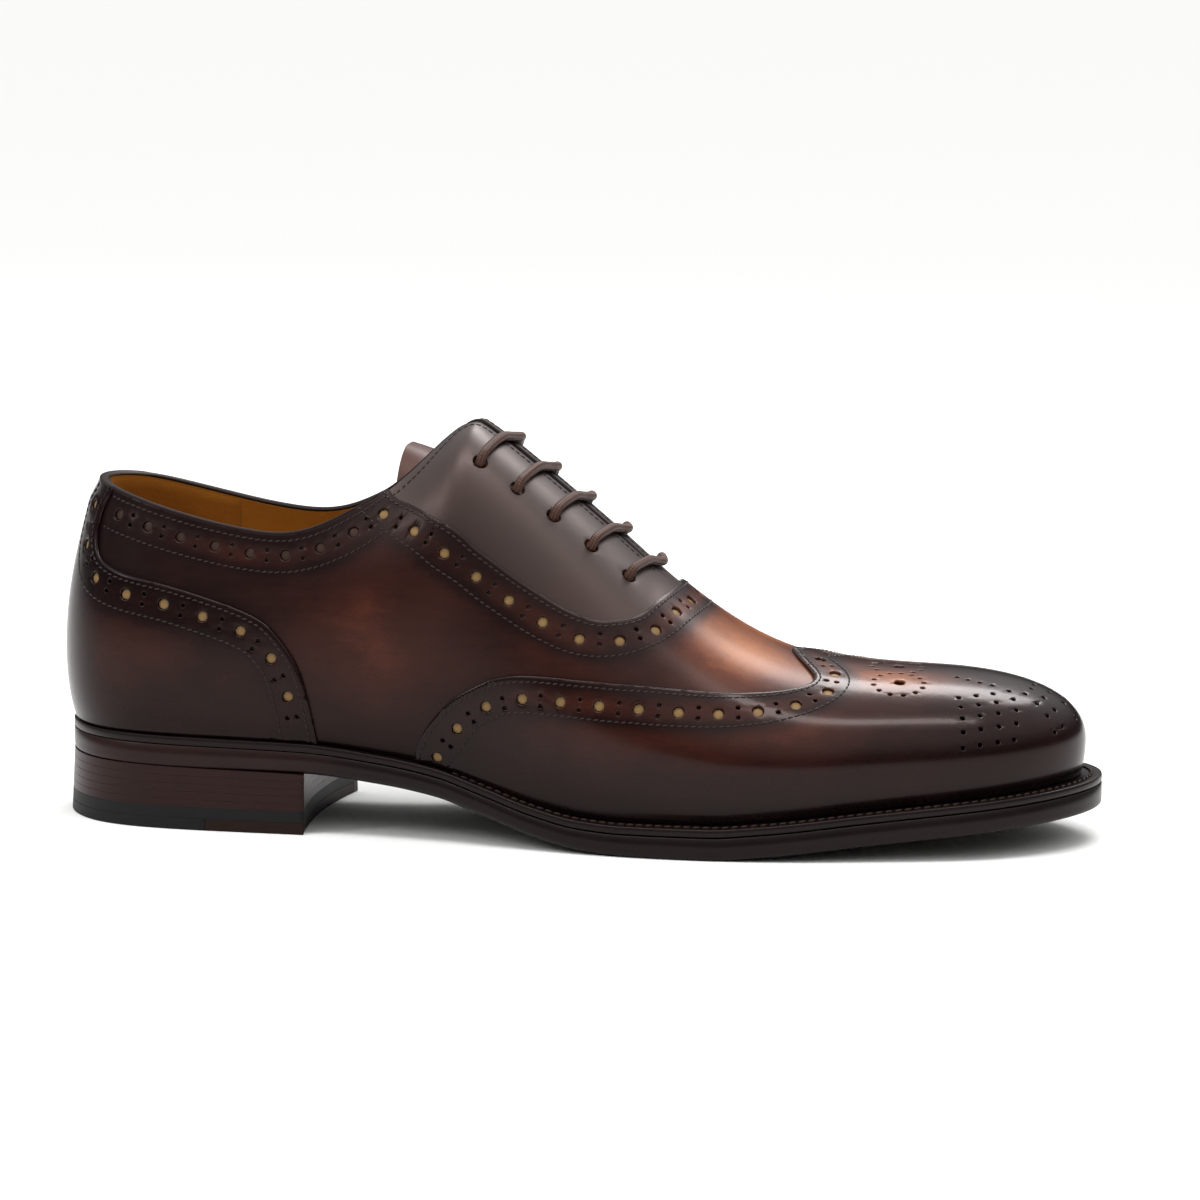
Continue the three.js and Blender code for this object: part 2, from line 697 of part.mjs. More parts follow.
const reachOf = (ring) => soleReach(ring) * weltReach;
const weltInner = -(wallThickness + 2 * pieceGap);
const insoleOut = weltInner - 2 * pieceGap;
const insoleAbove = 1.3;
addPart(
  "welt",
  hoop([
    outline(() => weltInner, (x) => soleTop(x) - weltThickness),
    outline(reachOf, (x) => soleTop(x) - weltThickness),
    outline(reachOf, soleTop),
    outline(() => weltInner, soleTop),
  ]),
  0x2a1a15,
  0.5,
);

const outsoleTop = (x) => underside(x) + outsoleThickness;
addPart(
  "insole",
  stack([
    outline(() => insoleOut, (x) => outsoleTop(x) + pieceGap),
    outline(() => insoleOut, (x) => soleTop(x) + insoleAbove),
  ]),
  0xb98a4e,
  0.7,
);

// The outsole's edge: square at the forefoot, rounded under at the waist.
const waistRows = [0, 0, 0, 0, 0.4, 1, 1, 0.5, 0, 0, 0, 0, 0];
const waist = curveAround(
  Array.from({ length: rings }, (_, i) => i),
  Array.from({ length: rings }, (_, i) => waistRows[Math.min(i, rings - i)]),
);
const edgeRound = 0.5;
const waistRound = 2.2;
// The edge is drawn at these shares of the outsole's thickness; the lower keeps a share of the rounding.
const edgeLow = { up: 0.15, round: 0.3 };
const edgeHigh = 0.5;
addPart(
  "outsole",
  stack([
    outline((ring) => reachOf(ring) - edgeRound - waistRound * waist(ring), underside),
    outline(
      (ring) => reachOf(ring) - waistRound * edgeLow.round * waist(ring),
      (x) => underside(x) + edgeLow.up * outsoleThickness,
    ),
    outline(reachOf, (x) => underside(x) + edgeHigh * outsoleThickness),
    outline(reachOf, outsoleTop),
  ]),
  0x211714,
  0.45,
);

// The heel: two leather lifts over a rubber layer, and a top piece of rubber behind and leather in front.
const breastAt = heelLength / 2;
const breastHollow = 3;
const heelFlare = 1;
// The rubber of the tread reaches forward of the heel's middle by this share of the heel's length.
const tipForward = 0.12;
const topPieceJoint = tipForward * heelLength;
const heelSteps = 12;
const breastSteps = 5;
// Each side's last step but one lies this far behind the deepest point of the breast's hollow.
const shoulderBack = 2;
// The ring ahead of the breast, and the halvings to find where a cut meets the heel's side.
const waistRing = 6;
const ringHalvings = 30;

function ringAt(x, out, from, to) {
  let low = from;
  let high = to;
  for (let i = 0; i < ringHalvings; i += 1) {
    const middle = (low + high) / 2;
    if (featherPoint(middle, out(middle)).x < x) low = middle;
    else high = middle;
  }
  return low;
}

// A heel layer's outline between two cuts across it; a cut at the very back leaves the round end whole.
function heelLoop(height, front, hollow, back) {
  const level = typeof height === "number" ? () => height : height;
  const out = (ring) => reachOf(ring) + heelFlare * (1 - level(0) / heelStack);
  const shoulder = front - hollow - shoulderBack;
  const [start, outerShoulder, outerEnd] = [back, shoulder, front].map((x) =>
    x === undefined ? 0 : ringAt(x, out, 0, waistRing));
  const [innerShoulder, innerEnd] = [shoulder, front].map((x) =>
    rings - ringAt(x, (ring) => out(rings - ring), 0, waistRing));
  const place = (ring) => {
    const p = featherPoint(ring, out(ring));
    return new THREE.Vector3(p.x, p.y, level(p.x));
  };
  const side = (from, to, end) => [
    ...Array.from({ length: heelSteps }, (_, i) => place(from + ((to - from) * i) / (heelSteps - 1))),
    place(end),
  ];
  const outer = side(start, outerShoulder, outerEnd);
  const inner = side(rings - start, innerShoulder, innerEnd);
  const a = outer[heelSteps];
  const b = inner[heelSteps];
  const across = Array.from({ length: breastSteps }, (_, i) => {
    const s = (i + 1) / (breastSteps + 1);
    const p = a.clone().lerp(b, s);
    p.x -= 4 * hollow * s * (1 - s);
    p.z = level(p.x);
    return p;
  });
  if (back === undefined) return [...outer, ...across, ...inner.slice(1).reverse()];
  const rear = outer[0].clone().lerp(inner[0], 0.5);
  rear.z = level(rear.x);
  return [rear, ...outer, ...across, ...inner.reverse()];
}

const rubberTop = topPieceThickness;
const rubberMiddle = topPieceThickness / 2;
const liftSplit = (heelStack + rubberTop) / 2;
const layer = (low, high, front = breastAt, hollow = breastHollow, back = undefined) =>
  stack(
    [heelLoop(low, front, hollow, back), heelLoop(high, front, hollow, back)],
    back === undefined ? heelSteps - 1 : heelSteps,
  );
addPart("heel_lift_upper", layer(liftSplit + pieceGap, (x) => underside(x) - pieceGap), 0x2c1b17, 0.45);
addPart("heel_lift_lower", layer(rubberTop + pieceGap, liftSplit), 0x301d18, 0.45);
addPart("top_piece_rubber", layer(rubberMiddle + pieceGap / 2, rubberTop), 0x151414, 0.7);
addPart("top_piece_tip", layer(0, rubberMiddle - pieceGap / 2, topPieceJoint - pieceGap, 0), 0x151414, 0.7);
addPart(
  "top_piece_leather",
  layer(0, rubberMiddle - pieceGap / 2, breastAt, breastHollow, topPieceJoint),
  0x2a1c17,
  0.55,
);

// The tongue: under the facings it follows the last, and its top end runs on and dips inside.
// In its rows sag, back, rise and droop are in millimetres, width is a share of its half width.
const tongueThickness = 1.6;
const tongueBelow = 2.2;
const tongueDepth = wallThickness + tongueBelow;
const tongueHalf = 25;
const tongueRows = [
  { ring: 7.85, sag: 0, width: 0.62, back: 0, rise: 0, droop: 0 },
  { ring: 7.5, sag: 0, width: 0.72, back: 0, rise: 0, droop: 0 },
  { ring: 7.1, sag: 0, width: 0.8, back: 0, rise: 0, droop: 0 },
  { ring: 6.7, sag: 1.5, width: 0.85, back: 0, rise: 0, droop: 0 },
  { ring: 6.3, sag: 5, width: 0.88, back: 0, rise: 0, droop: 0 },
  { ring: 6.0, sag: 9, width: 0.88, back: 0, rise: 0, droop: 0.5 },
  { ring: 5.75, sag: 12.5, width: 0.85, back: 0, rise: 0, droop: 1.5 },
  { ring: 5.75, sag: 12.5, width: 0.8, back: 6, rise: 2.8, droop: 2.5 },
  { ring: 5.75, sag: 12.5, width: 0.75, back: 12, rise: 5.2, droop: 4 },
  { ring: 5.75, sag: 12.5, width: 0.7, back: 17, rise: 7, droop: 5 },
  { ring: 5.75, sag: 12.5, width: 0.62, back: 20.5, rise: 8, droop: 6 },
];
const acrossSteps = 10;
function tongueSheet() {
  const points = [];
  const faces = [];
  for (const { ring, sag, width, back, rise, droop } of tongueRows) {
    for (let k = 0; k <= acrossSteps; k += 1) {
      const w = (2 * k) / acrossSteps - 1;
      const side = w < 0 ? ring : rings - ring;
      const share = 1 - (Math.abs(w) * width * tongueHalf) / rayAt(side).length;
      const { point, out } = placeAt(side, Math.min(share, 0.999));
      if (w === 0) {
        point.y = crestY(ring) * ballWidth;
        out.y = 0;
        out.normalize();
      }
      point.addScaledVector(out, -tongueDepth);
      point.add(new THREE.Vector3(-back, 0, rise - sag - droop * w * w));
      points.push({ p: point, n: new THREE.Vector3(), ring, share });
    }
  }
  const row = acrossSteps + 1;
  for (let i = 0; i < tongueRows.length - 1; i += 1) {
    for (let k = 0; k < acrossSteps; k += 1) {
      const a = i * row + k;
      faces.push([a, a + row, a + row + 1], [a, a + row + 1, a + 1]);
    }
  }
  return { points, faces };
}
const tongue = tongueSheet();
sheetNormals(tongue);
addPart("tongue", thicken(tongue, -tongueThickness, 0), 0x35231d, 0.5);

// Five straight bars of round lace, each down through its own two eyelets.
// Each end stops laceEnd below the facing's wall; the bend over the facing's edge runs laceBend up the ray.
// A bar lies square across the sloping slit, so it crosses the crest laceLean rays nearer to the toe.
const laceClear = 0.45;
const laceEnd = 0.4;
const laceStart = 0.2;
const laceBend = 1.3;
const laceLean = 0.12;
const laceRests = [0.4, 0.75];
const laceSteps = 14;
const laceSegments = 4;
eyelets.forEach(([outer, inner], i) => {
  const over = laceRadius + laceClear;
  const { ring, share } = eyeletRows[i];
  const leg = ({ point, out, up }, place, lean) => [
    point.clone().addScaledVector(out, -wallThickness - laceEnd),
    point.clone().addScaledVector(out, laceStart),
    point.clone().addScaledVector(out, over).addScaledVector(up, laceBend),
    ...laceRests.map((part) => {
      const spot = placeAt(place + lean * part, share + (1 - share) * part);
      return spot.point.addScaledVector(spot.out, over);
    }),
  ];
  const innerRing = rings - ring - innerShift;
  const top = rayAt(ring + laceLean).at(1).lerp(rayAt(innerRing - laceLean).at(1), 0.5);
  const path = new THREE.CatmullRomCurve3([
    ...leg(outer, ring, laceLean),
    top.add(new THREE.Vector3(0, 0, over)),
    ...leg(inner, innerRing, -laceLean).reverse(),
  ]);
  const round = new THREE.Shape().absarc(0, 0, laceRadius, 0, 2 * Math.PI);
  const bar = new THREE.ExtrudeGeometry(round, {
    steps: laceSteps,
    curveSegments: laceSegments,
    extrudePath: path,
  });
  addPart("lace_bar_" + (i + 1), bar, 0x3a231c, 0.6);
});

export default group;
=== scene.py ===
import math

import bpy
import numpy as np
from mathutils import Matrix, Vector
from mathutils.geometry import delaunay_2d_cdt
from mathutils.kdtree import KDTree


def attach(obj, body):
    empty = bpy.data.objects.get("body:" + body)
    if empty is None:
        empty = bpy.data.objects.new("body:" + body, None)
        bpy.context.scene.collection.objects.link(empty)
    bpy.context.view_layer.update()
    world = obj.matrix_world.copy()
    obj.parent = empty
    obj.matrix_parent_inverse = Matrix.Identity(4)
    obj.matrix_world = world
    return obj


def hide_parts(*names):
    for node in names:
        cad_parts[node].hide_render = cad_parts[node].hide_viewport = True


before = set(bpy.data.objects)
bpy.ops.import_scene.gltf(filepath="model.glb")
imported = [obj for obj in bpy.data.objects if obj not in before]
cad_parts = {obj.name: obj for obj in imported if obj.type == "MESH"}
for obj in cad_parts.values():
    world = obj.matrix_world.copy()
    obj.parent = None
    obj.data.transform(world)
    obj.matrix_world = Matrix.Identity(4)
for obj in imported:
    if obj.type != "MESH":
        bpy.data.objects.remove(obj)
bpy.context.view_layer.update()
bpy.ops.object.select_all(action="DESELECT")

MM = 0.001

# Camera: the photo's angle to the shoe, from the outer side, toe to the right.
CAMERA_AZIMUTH = math.radians(11.2)
CAMERA_HEIGHT = math.radians(9.73)
CAMERA_DISTANCE = 1.4
CAMERA_TARGET = Vector((0.1115, 0.0, 0.05))
CAMERA_LENS = 145.7
CAMERA_SHIFT = (0.019, 0.0425)

bpy.ops.object.camera_add()
camera = bpy.context.object
camera.name = "photo_camera"
toward = Vector((
    math.sin(CAMERA_AZIMUTH) * math.cos(CAMERA_HEIGHT),
    -math.cos(CAMERA_AZIMUTH) * math.cos(CAMERA_HEIGHT),
    math.sin(CAMERA_HEIGHT),
))
camera.location = CAMERA_TARGET + CAMERA_DISTANCE * toward
camera.rotation_euler = (-toward).to_track_quat("-Z", "Y").to_euler()
camera.data.lens = CAMERA_LENS
camera.data.shift_x, camera.data.shift_y = CAMERA_SHIFT
camera.data.dof.use_dof = False
camera.data.clip_end = 20
bpy.context.scene.camera = camera

# Sizes of the last and of the sole under it, in millimetres, as the solids have them.
LAST_LENGTH = 289.0
BALL_WIDTH = 88.0
INSTEP_HEIGHT = 117.0
HEEL_STACK = 18.0
TOE_SPRING = 9.5
WELT_THICKNESS = 2.2
OUTSOLE_THICKNESS = 6.3
WELT_REACH = 8.8
HEEL_LENGTH = 77.0
HEEL_BACK_REACH = 3.2
TOP_PIECE_THICKNESS = 6.6
SLIT_WIDTH = 5.0
WALL = 1.8
LEATHER = 1.0
GAP = 0.3
SOLE_PACK = WELT_THICKNESS + GAP + OUTSOLE_THICKNESS
LAST_BACK = HEEL_BACK_REACH - HEEL_LENGTH / 2

# Underside of the outsole: share of the last's length, of the heel stack and of the toe spring.
UNDERSIDE_ROWS = [
    (-0.02, 1.02, 0), (0.1, 1.0, 0), (0.25, 0.96, 0), (0.33, 0.84, 0), (0.39, 0.69, 0),
    (0.44, 0.45, 0), (0.49, 0.2, 0), (0.54, 0.04, 0), (0.585, 0, 0), (0.665, 0, 0),
    (0.72, 0, 0.12), (0.82, 0, 0.47), (0.91, 0, 0.75), (1.0, 0, 0.97), (1.03, 0, 1.03),
]

# The last, ring by ring from the heel's back (0) to the toe's tip (12): along, outer, inner, crest,
# drift, outer swell, inner swell, swell's height, fullness of the side and of the top.
LAST_ROWS = [
    (0, 0, 0, 0.105, 0, 0.0295, 0.0295, 0.22, 0.4, 0.35),
    (0.018, 0.172, 0.172, 0.108, 0, 0.0295, 0.0295, 0.22, 0.4, 0.35),
    (0.06, 0.284, 0.284, 0.115, 0, 0.027, 0.029, 0.22, 0.4, 0.35),
    (0.13, 0.326, 0.32, 0.15, 0, 0.023, 0.028, 0.22, 0.4, 0.35),
    (0.225, 0.332, 0.31, 0.225, 0, 0.021, 0.036, 0.24, 0.4, 0.35),
    (0.33, 0.345, 0.29, 0.33, 0, 0.031, 0.078, 0.26, 0.42, 0.35),
    (0.44, 0.385, 0.345, 0.44, 0, 0.028, 0.078, 0.27, 0.45, 0.35),
    (0.55, 0.432, 0.45, 0.55, 0.01, 0.021, 0.047, 0.22, 0.48, 0.38),
    (0.65, 0.44, 0.52, 0.65, 0.022, 0.018, 0.026, 0.18, 0.52, 0.42),
    (0.75, 0.408, 0.515, 0.745, 0.037, 0.017, 0.021, 0.15, 0.58, 0.46),
    (0.85, 0.335, 0.44, 0.82, 0.055, 0.017, 0.017, 0.13, 0.62, 0.5),
    (0.94, 0.222, 0.345, 0.87, 0.067, 0.017, 0.017, 0.12, 0.62, 0.5),
    (1, -0.07, 0.07, 0.885, 0.07, 0.017, 0.017, 0.115, 0.62, 0.5),
]

# The line of the instep: share of the last's length, share of the instep's height.
CREST_ROWS = [
    (0.36, 1.07), (0.42, 0.98), (0.48, 0.866), (0.54, 0.743), (0.6, 0.613),
    (0.66, 0.503), (0.72, 0.432), (0.8, 0.395), (0.88, 0.387), (0.94, 0.377),
]

# The collar: ring, distance from the axis, height, lean in degrees.
COLLAR_ROWS = [
    (0, 0.27, 0.836, 12), (1, 0.272, 0.829, 12), (2, 0.276, 0.808, 11), (3, 0.29, 0.768, 10),
    (3.7, 0.296, 0.738, 10), (4.2, 0.298, 0.738, 12), (4.5, 0.286, 0.765, 18),
    (4.75, 0.262, 0.799, 27), (5, 0.226, 0.84, 38), (5.25, 0.168, 0.898, 52),
    (5.5, 0.085, 0.966, 72), (5.7, 0.015, 1.012, 86), (5.9, -0.06, 1.08, 90), (6.3, -0.2, 1.22, 90),
]
SLIT_END = 0.59
SLIT_START = 0.375
CORNER_ROUND = 0.05
TOE_RING = 12
RINGS = 24


def curve_through(at, values):
    """A smooth curve through rows of any spacing, with straight ends."""
    at, values = np.asarray(at, float), np.asarray(values, float)
    count = len(at)
    gaps = np.diff(at)
    system, right = np.eye(count), np.zeros(count)
    for i in range(1, count - 1):
        system[i, i - 1 : i + 2] = gaps[i - 1], 2 * (gaps[i - 1] + gaps[i]), gaps[i]
        right[i] = 6 * (
            (values[i + 1] - values[i]) / gaps[i] - (values[i] - values[i - 1]) / gaps[i - 1]
        )
    bend = np.linalg.solve(system, right)

    def value(x):
        x = np.asarray(x, float)
        i = np.clip(np.searchsorted(at, x, side="right") - 1, 0, count - 2)
        span = at[i + 1] - at[i]
        b = (x - at[i]) / span
        a = 1 - b
        curved = a * values[i] + b * values[i + 1]
        curved = curved + ((a**3 - a) * bend[i] + (b**3 - b) * bend[i + 1]) * span**2 / 6
        straight = values[i] + b * (values[i + 1] - values[i] - bend[i + 1] * span**2 / 6)
        return np.where(a > 1, straight, curved)

    return value


def curve_around(at, values):
    """The same round a closed ring: the rows are repeated past both ends."""
    at, values = np.asarray(at, float), np.asarray(values, float)
    return curve_through(np.concatenate([at - RINGS, at, at + RINGS]), np.tile(values, 3))


def level_curve(at, values):
    """A curve that never overshoots its rows, so a level stretch stays level."""
    at, values = np.asarray(at, float), np.asarray(values, float)
    rise = np.diff(values) / np.diff(at)
    slopes = np.zeros(len(at))
    both = rise[:-1] * rise[1:] > 0
    total = np.where(both, rise[:-1] + rise[1:], 1)
    slopes[1:-1] = np.where(both, 2 * rise[:-1] * rise[1:] / total, 0)
    slopes[-1] = rise[-1]

    def value(x):
        x = np.asarray(x, float)
        i = np.clip(np.searchsorted(at, x, side="right") - 1, 0, len(at) - 2)
        span = at[i + 1] - at[i]
        s = (x - at[i]) / span
        held = (
            values[i] * (1 + 2 * s) * (1 - s) ** 2
            + slopes[i] * span * s * (1 - s) ** 2
            + values[i + 1] * s * s * (3 - 2 * s)
            + slopes[i + 1] * span * s * s * (s - 1)
        )
        return np.where(s < 0, values[0], held)

    return value


def round_the_last(outer, inner):
    """A column of the last's rows, out along the outer side and home along the inner one."""
    column = [
        LAST_ROWS[i][outer] if i <= TOE_RING else LAST_ROWS[RINGS - i][inner] for i in range(RINGS)
    ]
    return np.arange(RINGS), np.array(column, float)


def round_the_collar(column):
    rows = [(row[0], row[column]) for row in COLLAR_ROWS]
    rows += [(7.5, rows[-1][1]), (TOE_RING, rows[-1][1])]
    rows += [(RINGS - ring, value) for ring, value in rows[-2:0:-1]]
    return curve_around(*zip(*rows))


feather_x = curve_around(*round_the_last(0, 0))
side_at, side_values = round_the_last(1, 2)
feather_y = curve_around(side_at, np.where(side_at <= TOE_RING, -side_values, side_values))
crest_x = curve_around(*round_the_last(3, 3))
crest_y = curve_around(*round_the_last(4, 4))
swell = curve_around(*round_the_last(5, 6))
swell_up = curve_around(*round_the_last(7, 7))
side_full = curve_around(*round_the_last(8, 8))
top_full = curve_around(*round_the_last(9, 9))
collar_reach, collar_up, collar_lean = (round_the_collar(column) for column in (1, 2, 3))
crest_up = curve_through(*zip(*CREST_ROWS))
heel_part = level_curve([row[0] for row in UNDERSIDE_ROWS], [row[1] for row in UNDERSIDE_ROWS])
spring_part = level_curve([row[0] for row in UNDERSIDE_ROWS], [row[2] for row in UNDERSIDE_ROWS])


def underside(x):
    """The height of the outsole's underside along the shoe."""
    along = (np.asarray(x) - LAST_BACK) / LAST_LENGTH
    return heel_part(along) * HEEL_STACK + spring_part(along) * TOE_SPRING


def sole_top(x):
    """The height of the welt's upper face along the shoe."""
    return underside(x) + SOLE_PACK


def soft_min(a, b, corner):
    """The smaller of two values, rounded where they cross."""
    h = np.maximum(corner - np.abs(a - b), 0) / corner
    return np.minimum(a, b) - h * h * corner / 4


def unit(vectors):
    return vectors / np.maximum(np.linalg.norm(vectors, axis=-1, keepdims=True), 1e-12)


def run_of(points):
    """How far along its path each point lies."""
    return np.concatenate([[0], np.cumsum(np.linalg.norm(np.diff(points, axis=0), axis=1))])


def at_stops(stops, run, rows):
    """The rows of a path, read at stops along its run."""
    return np.column_stack([np.interp(stops, run, column) for column in rows.T])


def folded(ring):
    """A ring of either side as it is counted on the outer side, from the heel's back to the toe."""
    return np.abs(np.mod(ring + TOE_RING, RINGS) - TOE_RING)


def bezier(corners, s):
    """Points of many cubic curves: corners is (curves, 4, 3), s is (curves, places)."""
    s = s[..., None]
    a, b, c, d = (corners[:, None, i] for i in range(4))
    return a * (1 - s) ** 3 + b * 3 * s * (1 - s) ** 2 + c * 3 * s * s * (1 - s) + d * s**3


# The last's surface is drawn once as a fine grid of rings and shares up each ray, then read between.
PER_RING = 40
PER_RAY = 200


def draw_last():
    """The last's surface as a grid of points: rings by shares up each ray."""
    ring = np.linspace(0, RINGS, RINGS * PER_RING + 1)
    along = crest_x(ring)
    crest = np.stack([LAST_BACK + along * LAST_LENGTH, crest_y(ring) * BALL_WIDTH], 1)
    foot = np.stack([LAST_BACK + feather_x(ring) * LAST_LENGTH, feather_y(ring) * BALL_WIDTH], 1)
    inward = unit(crest - foot)
    open_part = np.clip((SLIT_END - along) / (SLIT_END - SLIT_START), 0, 1)
    slit = SLIT_WIDTH / 2 * np.sqrt(open_part)
    rim = -soft_min(-collar_reach(ring) * BALL_WIDTH, -slit, CORNER_ROUND * INSTEP_HEIGHT)
    reach = np.where(along >= SLIT_END, 0, np.maximum(rim, 0))
    up = soft_min(collar_up(ring), crest_up(along), CORNER_ROUND) * INSTEP_HEIGHT
    slope = (crest_up(along + 0.01) - crest_up(along - 0.01)) / 0.02 * INSTEP_HEIGHT / LAST_LENGTH
    lean = np.radians(np.minimum(90, collar_lean(ring)))[:, None]
    flat = np.column_stack([inward, np.zeros(len(ring))])
    end = np.column_stack([crest - inward * reach[:, None], up])
    level = np.column_stack([inward, slope * inward[:, 0]])
    heading = unit(np.array([0, 0, 1]) * np.cos(lean) + level * np.sin(lean))
    start = np.column_stack([foot, sole_top(foot[:, 0]) + GAP])
    out = (swell(ring) * BALL_WIDTH)[:, None]
    rise = (swell_up(ring) * BALL_WIDTH)[:, None]
    lift = np.array([0, 0, 1])
    widest = start - flat * out + lift * rise
    span = np.linalg.norm(widest - end, axis=1, keepdims=True)
    lower = np.stack([
        start, start - flat * out * 0.6 + lift * rise * 0.25, widest - lift * rise * 0.45, widest,
    ], 1)
    side = side_full(ring)[:, None] * (end[:, 2:] - widest[:, 2:])
    upper = np.stack([
        widest, widest + lift * side, end - heading * top_full(ring)[:, None] * span, end,
    ], 1)
    marks = np.linspace(0, 1, 25)
    chords = np.concatenate([
        bezier(lower, np.tile(marks, (len(ring), 1))),
        bezier(upper, np.tile(marks[1:], (len(ring), 1))),
    ], 1)
    length = np.cumsum(np.linalg.norm(np.diff(chords, axis=1), axis=2), axis=1)
    length = np.column_stack([np.zeros(len(ring)), length])
    share = np.linspace(0, 1, PER_RAY + 1)
    places = np.linspace(0, 2, 49)
    s = np.array([np.interp(share * row[-1], row, places) for row in length])
    low = bezier(lower, np.clip(s, 0, 1))
    high = bezier(upper, np.clip(s - 1, 0, 1))
    return np.where((s <= 1)[..., None], low, high)


last_points = draw_last()
half_turn = last_points[:-1]
last_along = (np.roll(half_turn, -1, 0) - np.roll(half_turn, 1, 0)) * PER_RING / 2
last_along = np.concatenate([last_along, last_along[:1]])
last_up = np.gradient(last_points, 1 / PER_RAY, axis=1)
last_out = unit(np.cross(last_along, last_up))
# At the feather line the leather stands upright; on the crest the two sides share one direction.
standing = np.linspace(0, 1, 9)[None, :, None]
last_out[:, :9, 2:] *= standing
last_out = unit(last_out)
on_crest = np.linalg.norm(last_points[:, -1] - last_points[::-1, -1], axis=1) < 1e-6
shared = unit(last_out[:, -3] + last_out[::-1, -3])
last_out[:, -1] = np.where(on_crest[:, None], shared, last_out[:, -3])
last_out[:, -2] = unit(last_out[:, -1] + last_out[:, -3])
CREST_RING = 5 + np.argmax(on_crest[5 * PER_RING : TOE_RING * PER_RING]) / PER_RING
ray_length = np.linalg.norm(np.diff(last_points, axis=1), axis=2).sum(1)

# Leathers are pared thin toward the collar's rim: the reach of that in millimetres and its depth.
SKIVE_REACH = 8.0
SKIVE_DEPTH = 0.58


def heights(chart, level):
    """The level of a leather at places in the chart, pared near the collar."""
    ring = folded(chart[..., 0])
    whole = np.interp(ring, np.arange(len(ray_length)) / PER_RING, ray_length)
    near = np.clip(1 - (1 - chart[..., 1]) * whole / SKIVE_REACH, 0, 1) * (ring < CREST_RING)
    return level * (1 - SKIVE_DEPTH * near * near * (3 - 2 * near))


def read(table, chart):
    """A table of the grid, read between its marks at places (ring, share)."""
    chart = np.asarray(chart, float)
    x = np.mod(chart[..., 0], RINGS) * PER_RING
    y = np.clip(chart[..., 1], 0, 1) * PER_RAY
    i = np.clip(np.floor(x).astype(int), 0, RINGS * PER_RING - 1)
    j = np.clip(np.floor(y).astype(int), 0, PER_RAY - 1)
    u, v = (x - i)[..., None], (y - j)[..., None]
    near = table[i, j] * (1 - v) + table[i, j + 1] * v
    far = table[i + 1, j] * (1 - v) + table[i + 1, j + 1] * v
    return near * (1 - u) + far * u


def on_last(chart, level=0.0):
    """Points on the last, in millimetres, at a level above its surface."""
    chart = np.asarray(chart, float)
    past = (chart[..., 1] - np.clip(chart[..., 1], 0, 1))[..., None]
    level = np.asarray(level, float)
    level = level[..., None] if level.ndim else level
    return read(last_points, chart) + past * read(last_up, chart) + read(last_out, chart) * level


def chart_steps(chart, moves):
    """The changes of ring and share that move places by short 3-D moves on the surface."""
    along, up = read(last_along, chart), read(last_up, chart)
    aa, au, uu = (along * along).sum(-1), (along * up).sum(-1), (up * up).sum(-1)
    ma, mu = (along * moves).sum(-1), (up * moves).sum(-1)
    det = np.maximum(aa * uu - au * au, 1e-9)
    return np.stack([(ma * uu - mu * au) / det, (mu * aa - ma * au) / det], -1)


def tangents(chart):
    """The direction of a line at each of its places."""
    return unit(np.gradient(on_last(chart), axis=0))


def shifted(line, distance):
    """A line on the leather, moved to its right by a distance in millimetres."""
    moves = np.cross(tangents(line), read(last_out, line)) * distance
    return line + chart_steps(line, moves)


def spaced(line, step):
    """The line again, at even steps in millimetres."""
    run = run_of(on_last(line))
    count = max(2, round(run[-1] / step))
    return at_stops(np.linspace(0, run[-1], count + 1), run, line)


def within(line, low=0.0, high=1.0):
    """The stretch of a line whose shares lie between two values."""
    fine = spaced(line, 0.2)
    return fine[(fine[:, 1] >= low) & (fine[:, 1] <= high)]


def mirrored(chart):
    """The same places on the other side, in a chart that starts at the heel."""
    return np.asarray(chart) * np.array([-1, 1])


# Free edges of the panels on the outer side; the inner side mirrors them.
COUNTER_EDGE = [
    (1.5, 1.04), (1.4, 0.94), (1.33, 0.83), (1.44, 0.75), (1.72, 0.697), (2.2, 0.675), (2.75, 0.673),
    (3.34, 0.649), (3.75, 0.606), (4.0, 0.53), (4.2, 0.4), (4.34, 0.2), (4.43, -0.04),
]
WING_EDGE = [
    (5.35, -0.04), (5.41, 0.07), (5.6, 0.155), (5.95, 0.256), (6.29, 0.33), (6.98, 0.405),
    (8.05, 0.488), (8.62, 0.548), (8.95, 0.615), (9.07, 0.7), (9.0, 0.782), (8.87, 0.877), (8.7, 1.04),
]
THROAT_EDGE = [
    (4.98, 1.04), (5.076, 0.946), (5.272, 0.826), (5.429, 0.735), (5.584, 0.662), (5.739, 0.62),
    (5.92, 0.598), (6.108, 0.589), (6.26, 0.583), (6.417, 0.579), (6.67, 0.574), (6.91, 0.581),
    (7.1, 0.607), (7.28, 0.652), (7.44, 0.75), (7.54, 0.876), (7.57, 1.04),
]
EYELETS = [(5.86, 0.831), (6.19, 0.829), (6.51, 0.827), (6.85, 0.82), (7.2, 0.814)]
INNER_SHIFT = 0.07
EYELET_RADIUS = 2.1
LACE_RADIUS = 1.35


def edge_line(rows):
    """A fine, smooth line through the rows of an edge."""
    rows = np.array(rows)
    step = np.hypot(np.diff(rows[:, 0]), TOE_RING * np.diff(rows[:, 1]))
    at = np.concatenate([[0], np.cumsum(step)])
    fine = np.linspace(0, at[-1], 600)
    return np.column_stack([curve_through(at, rows[:, 0])(fine), curve_through(at, rows[:, 1])(fine)])


counter_line, wing_line, throat_line = map(edge_line, (COUNTER_EDGE, WING_EDGE, THROAT_EDGE))

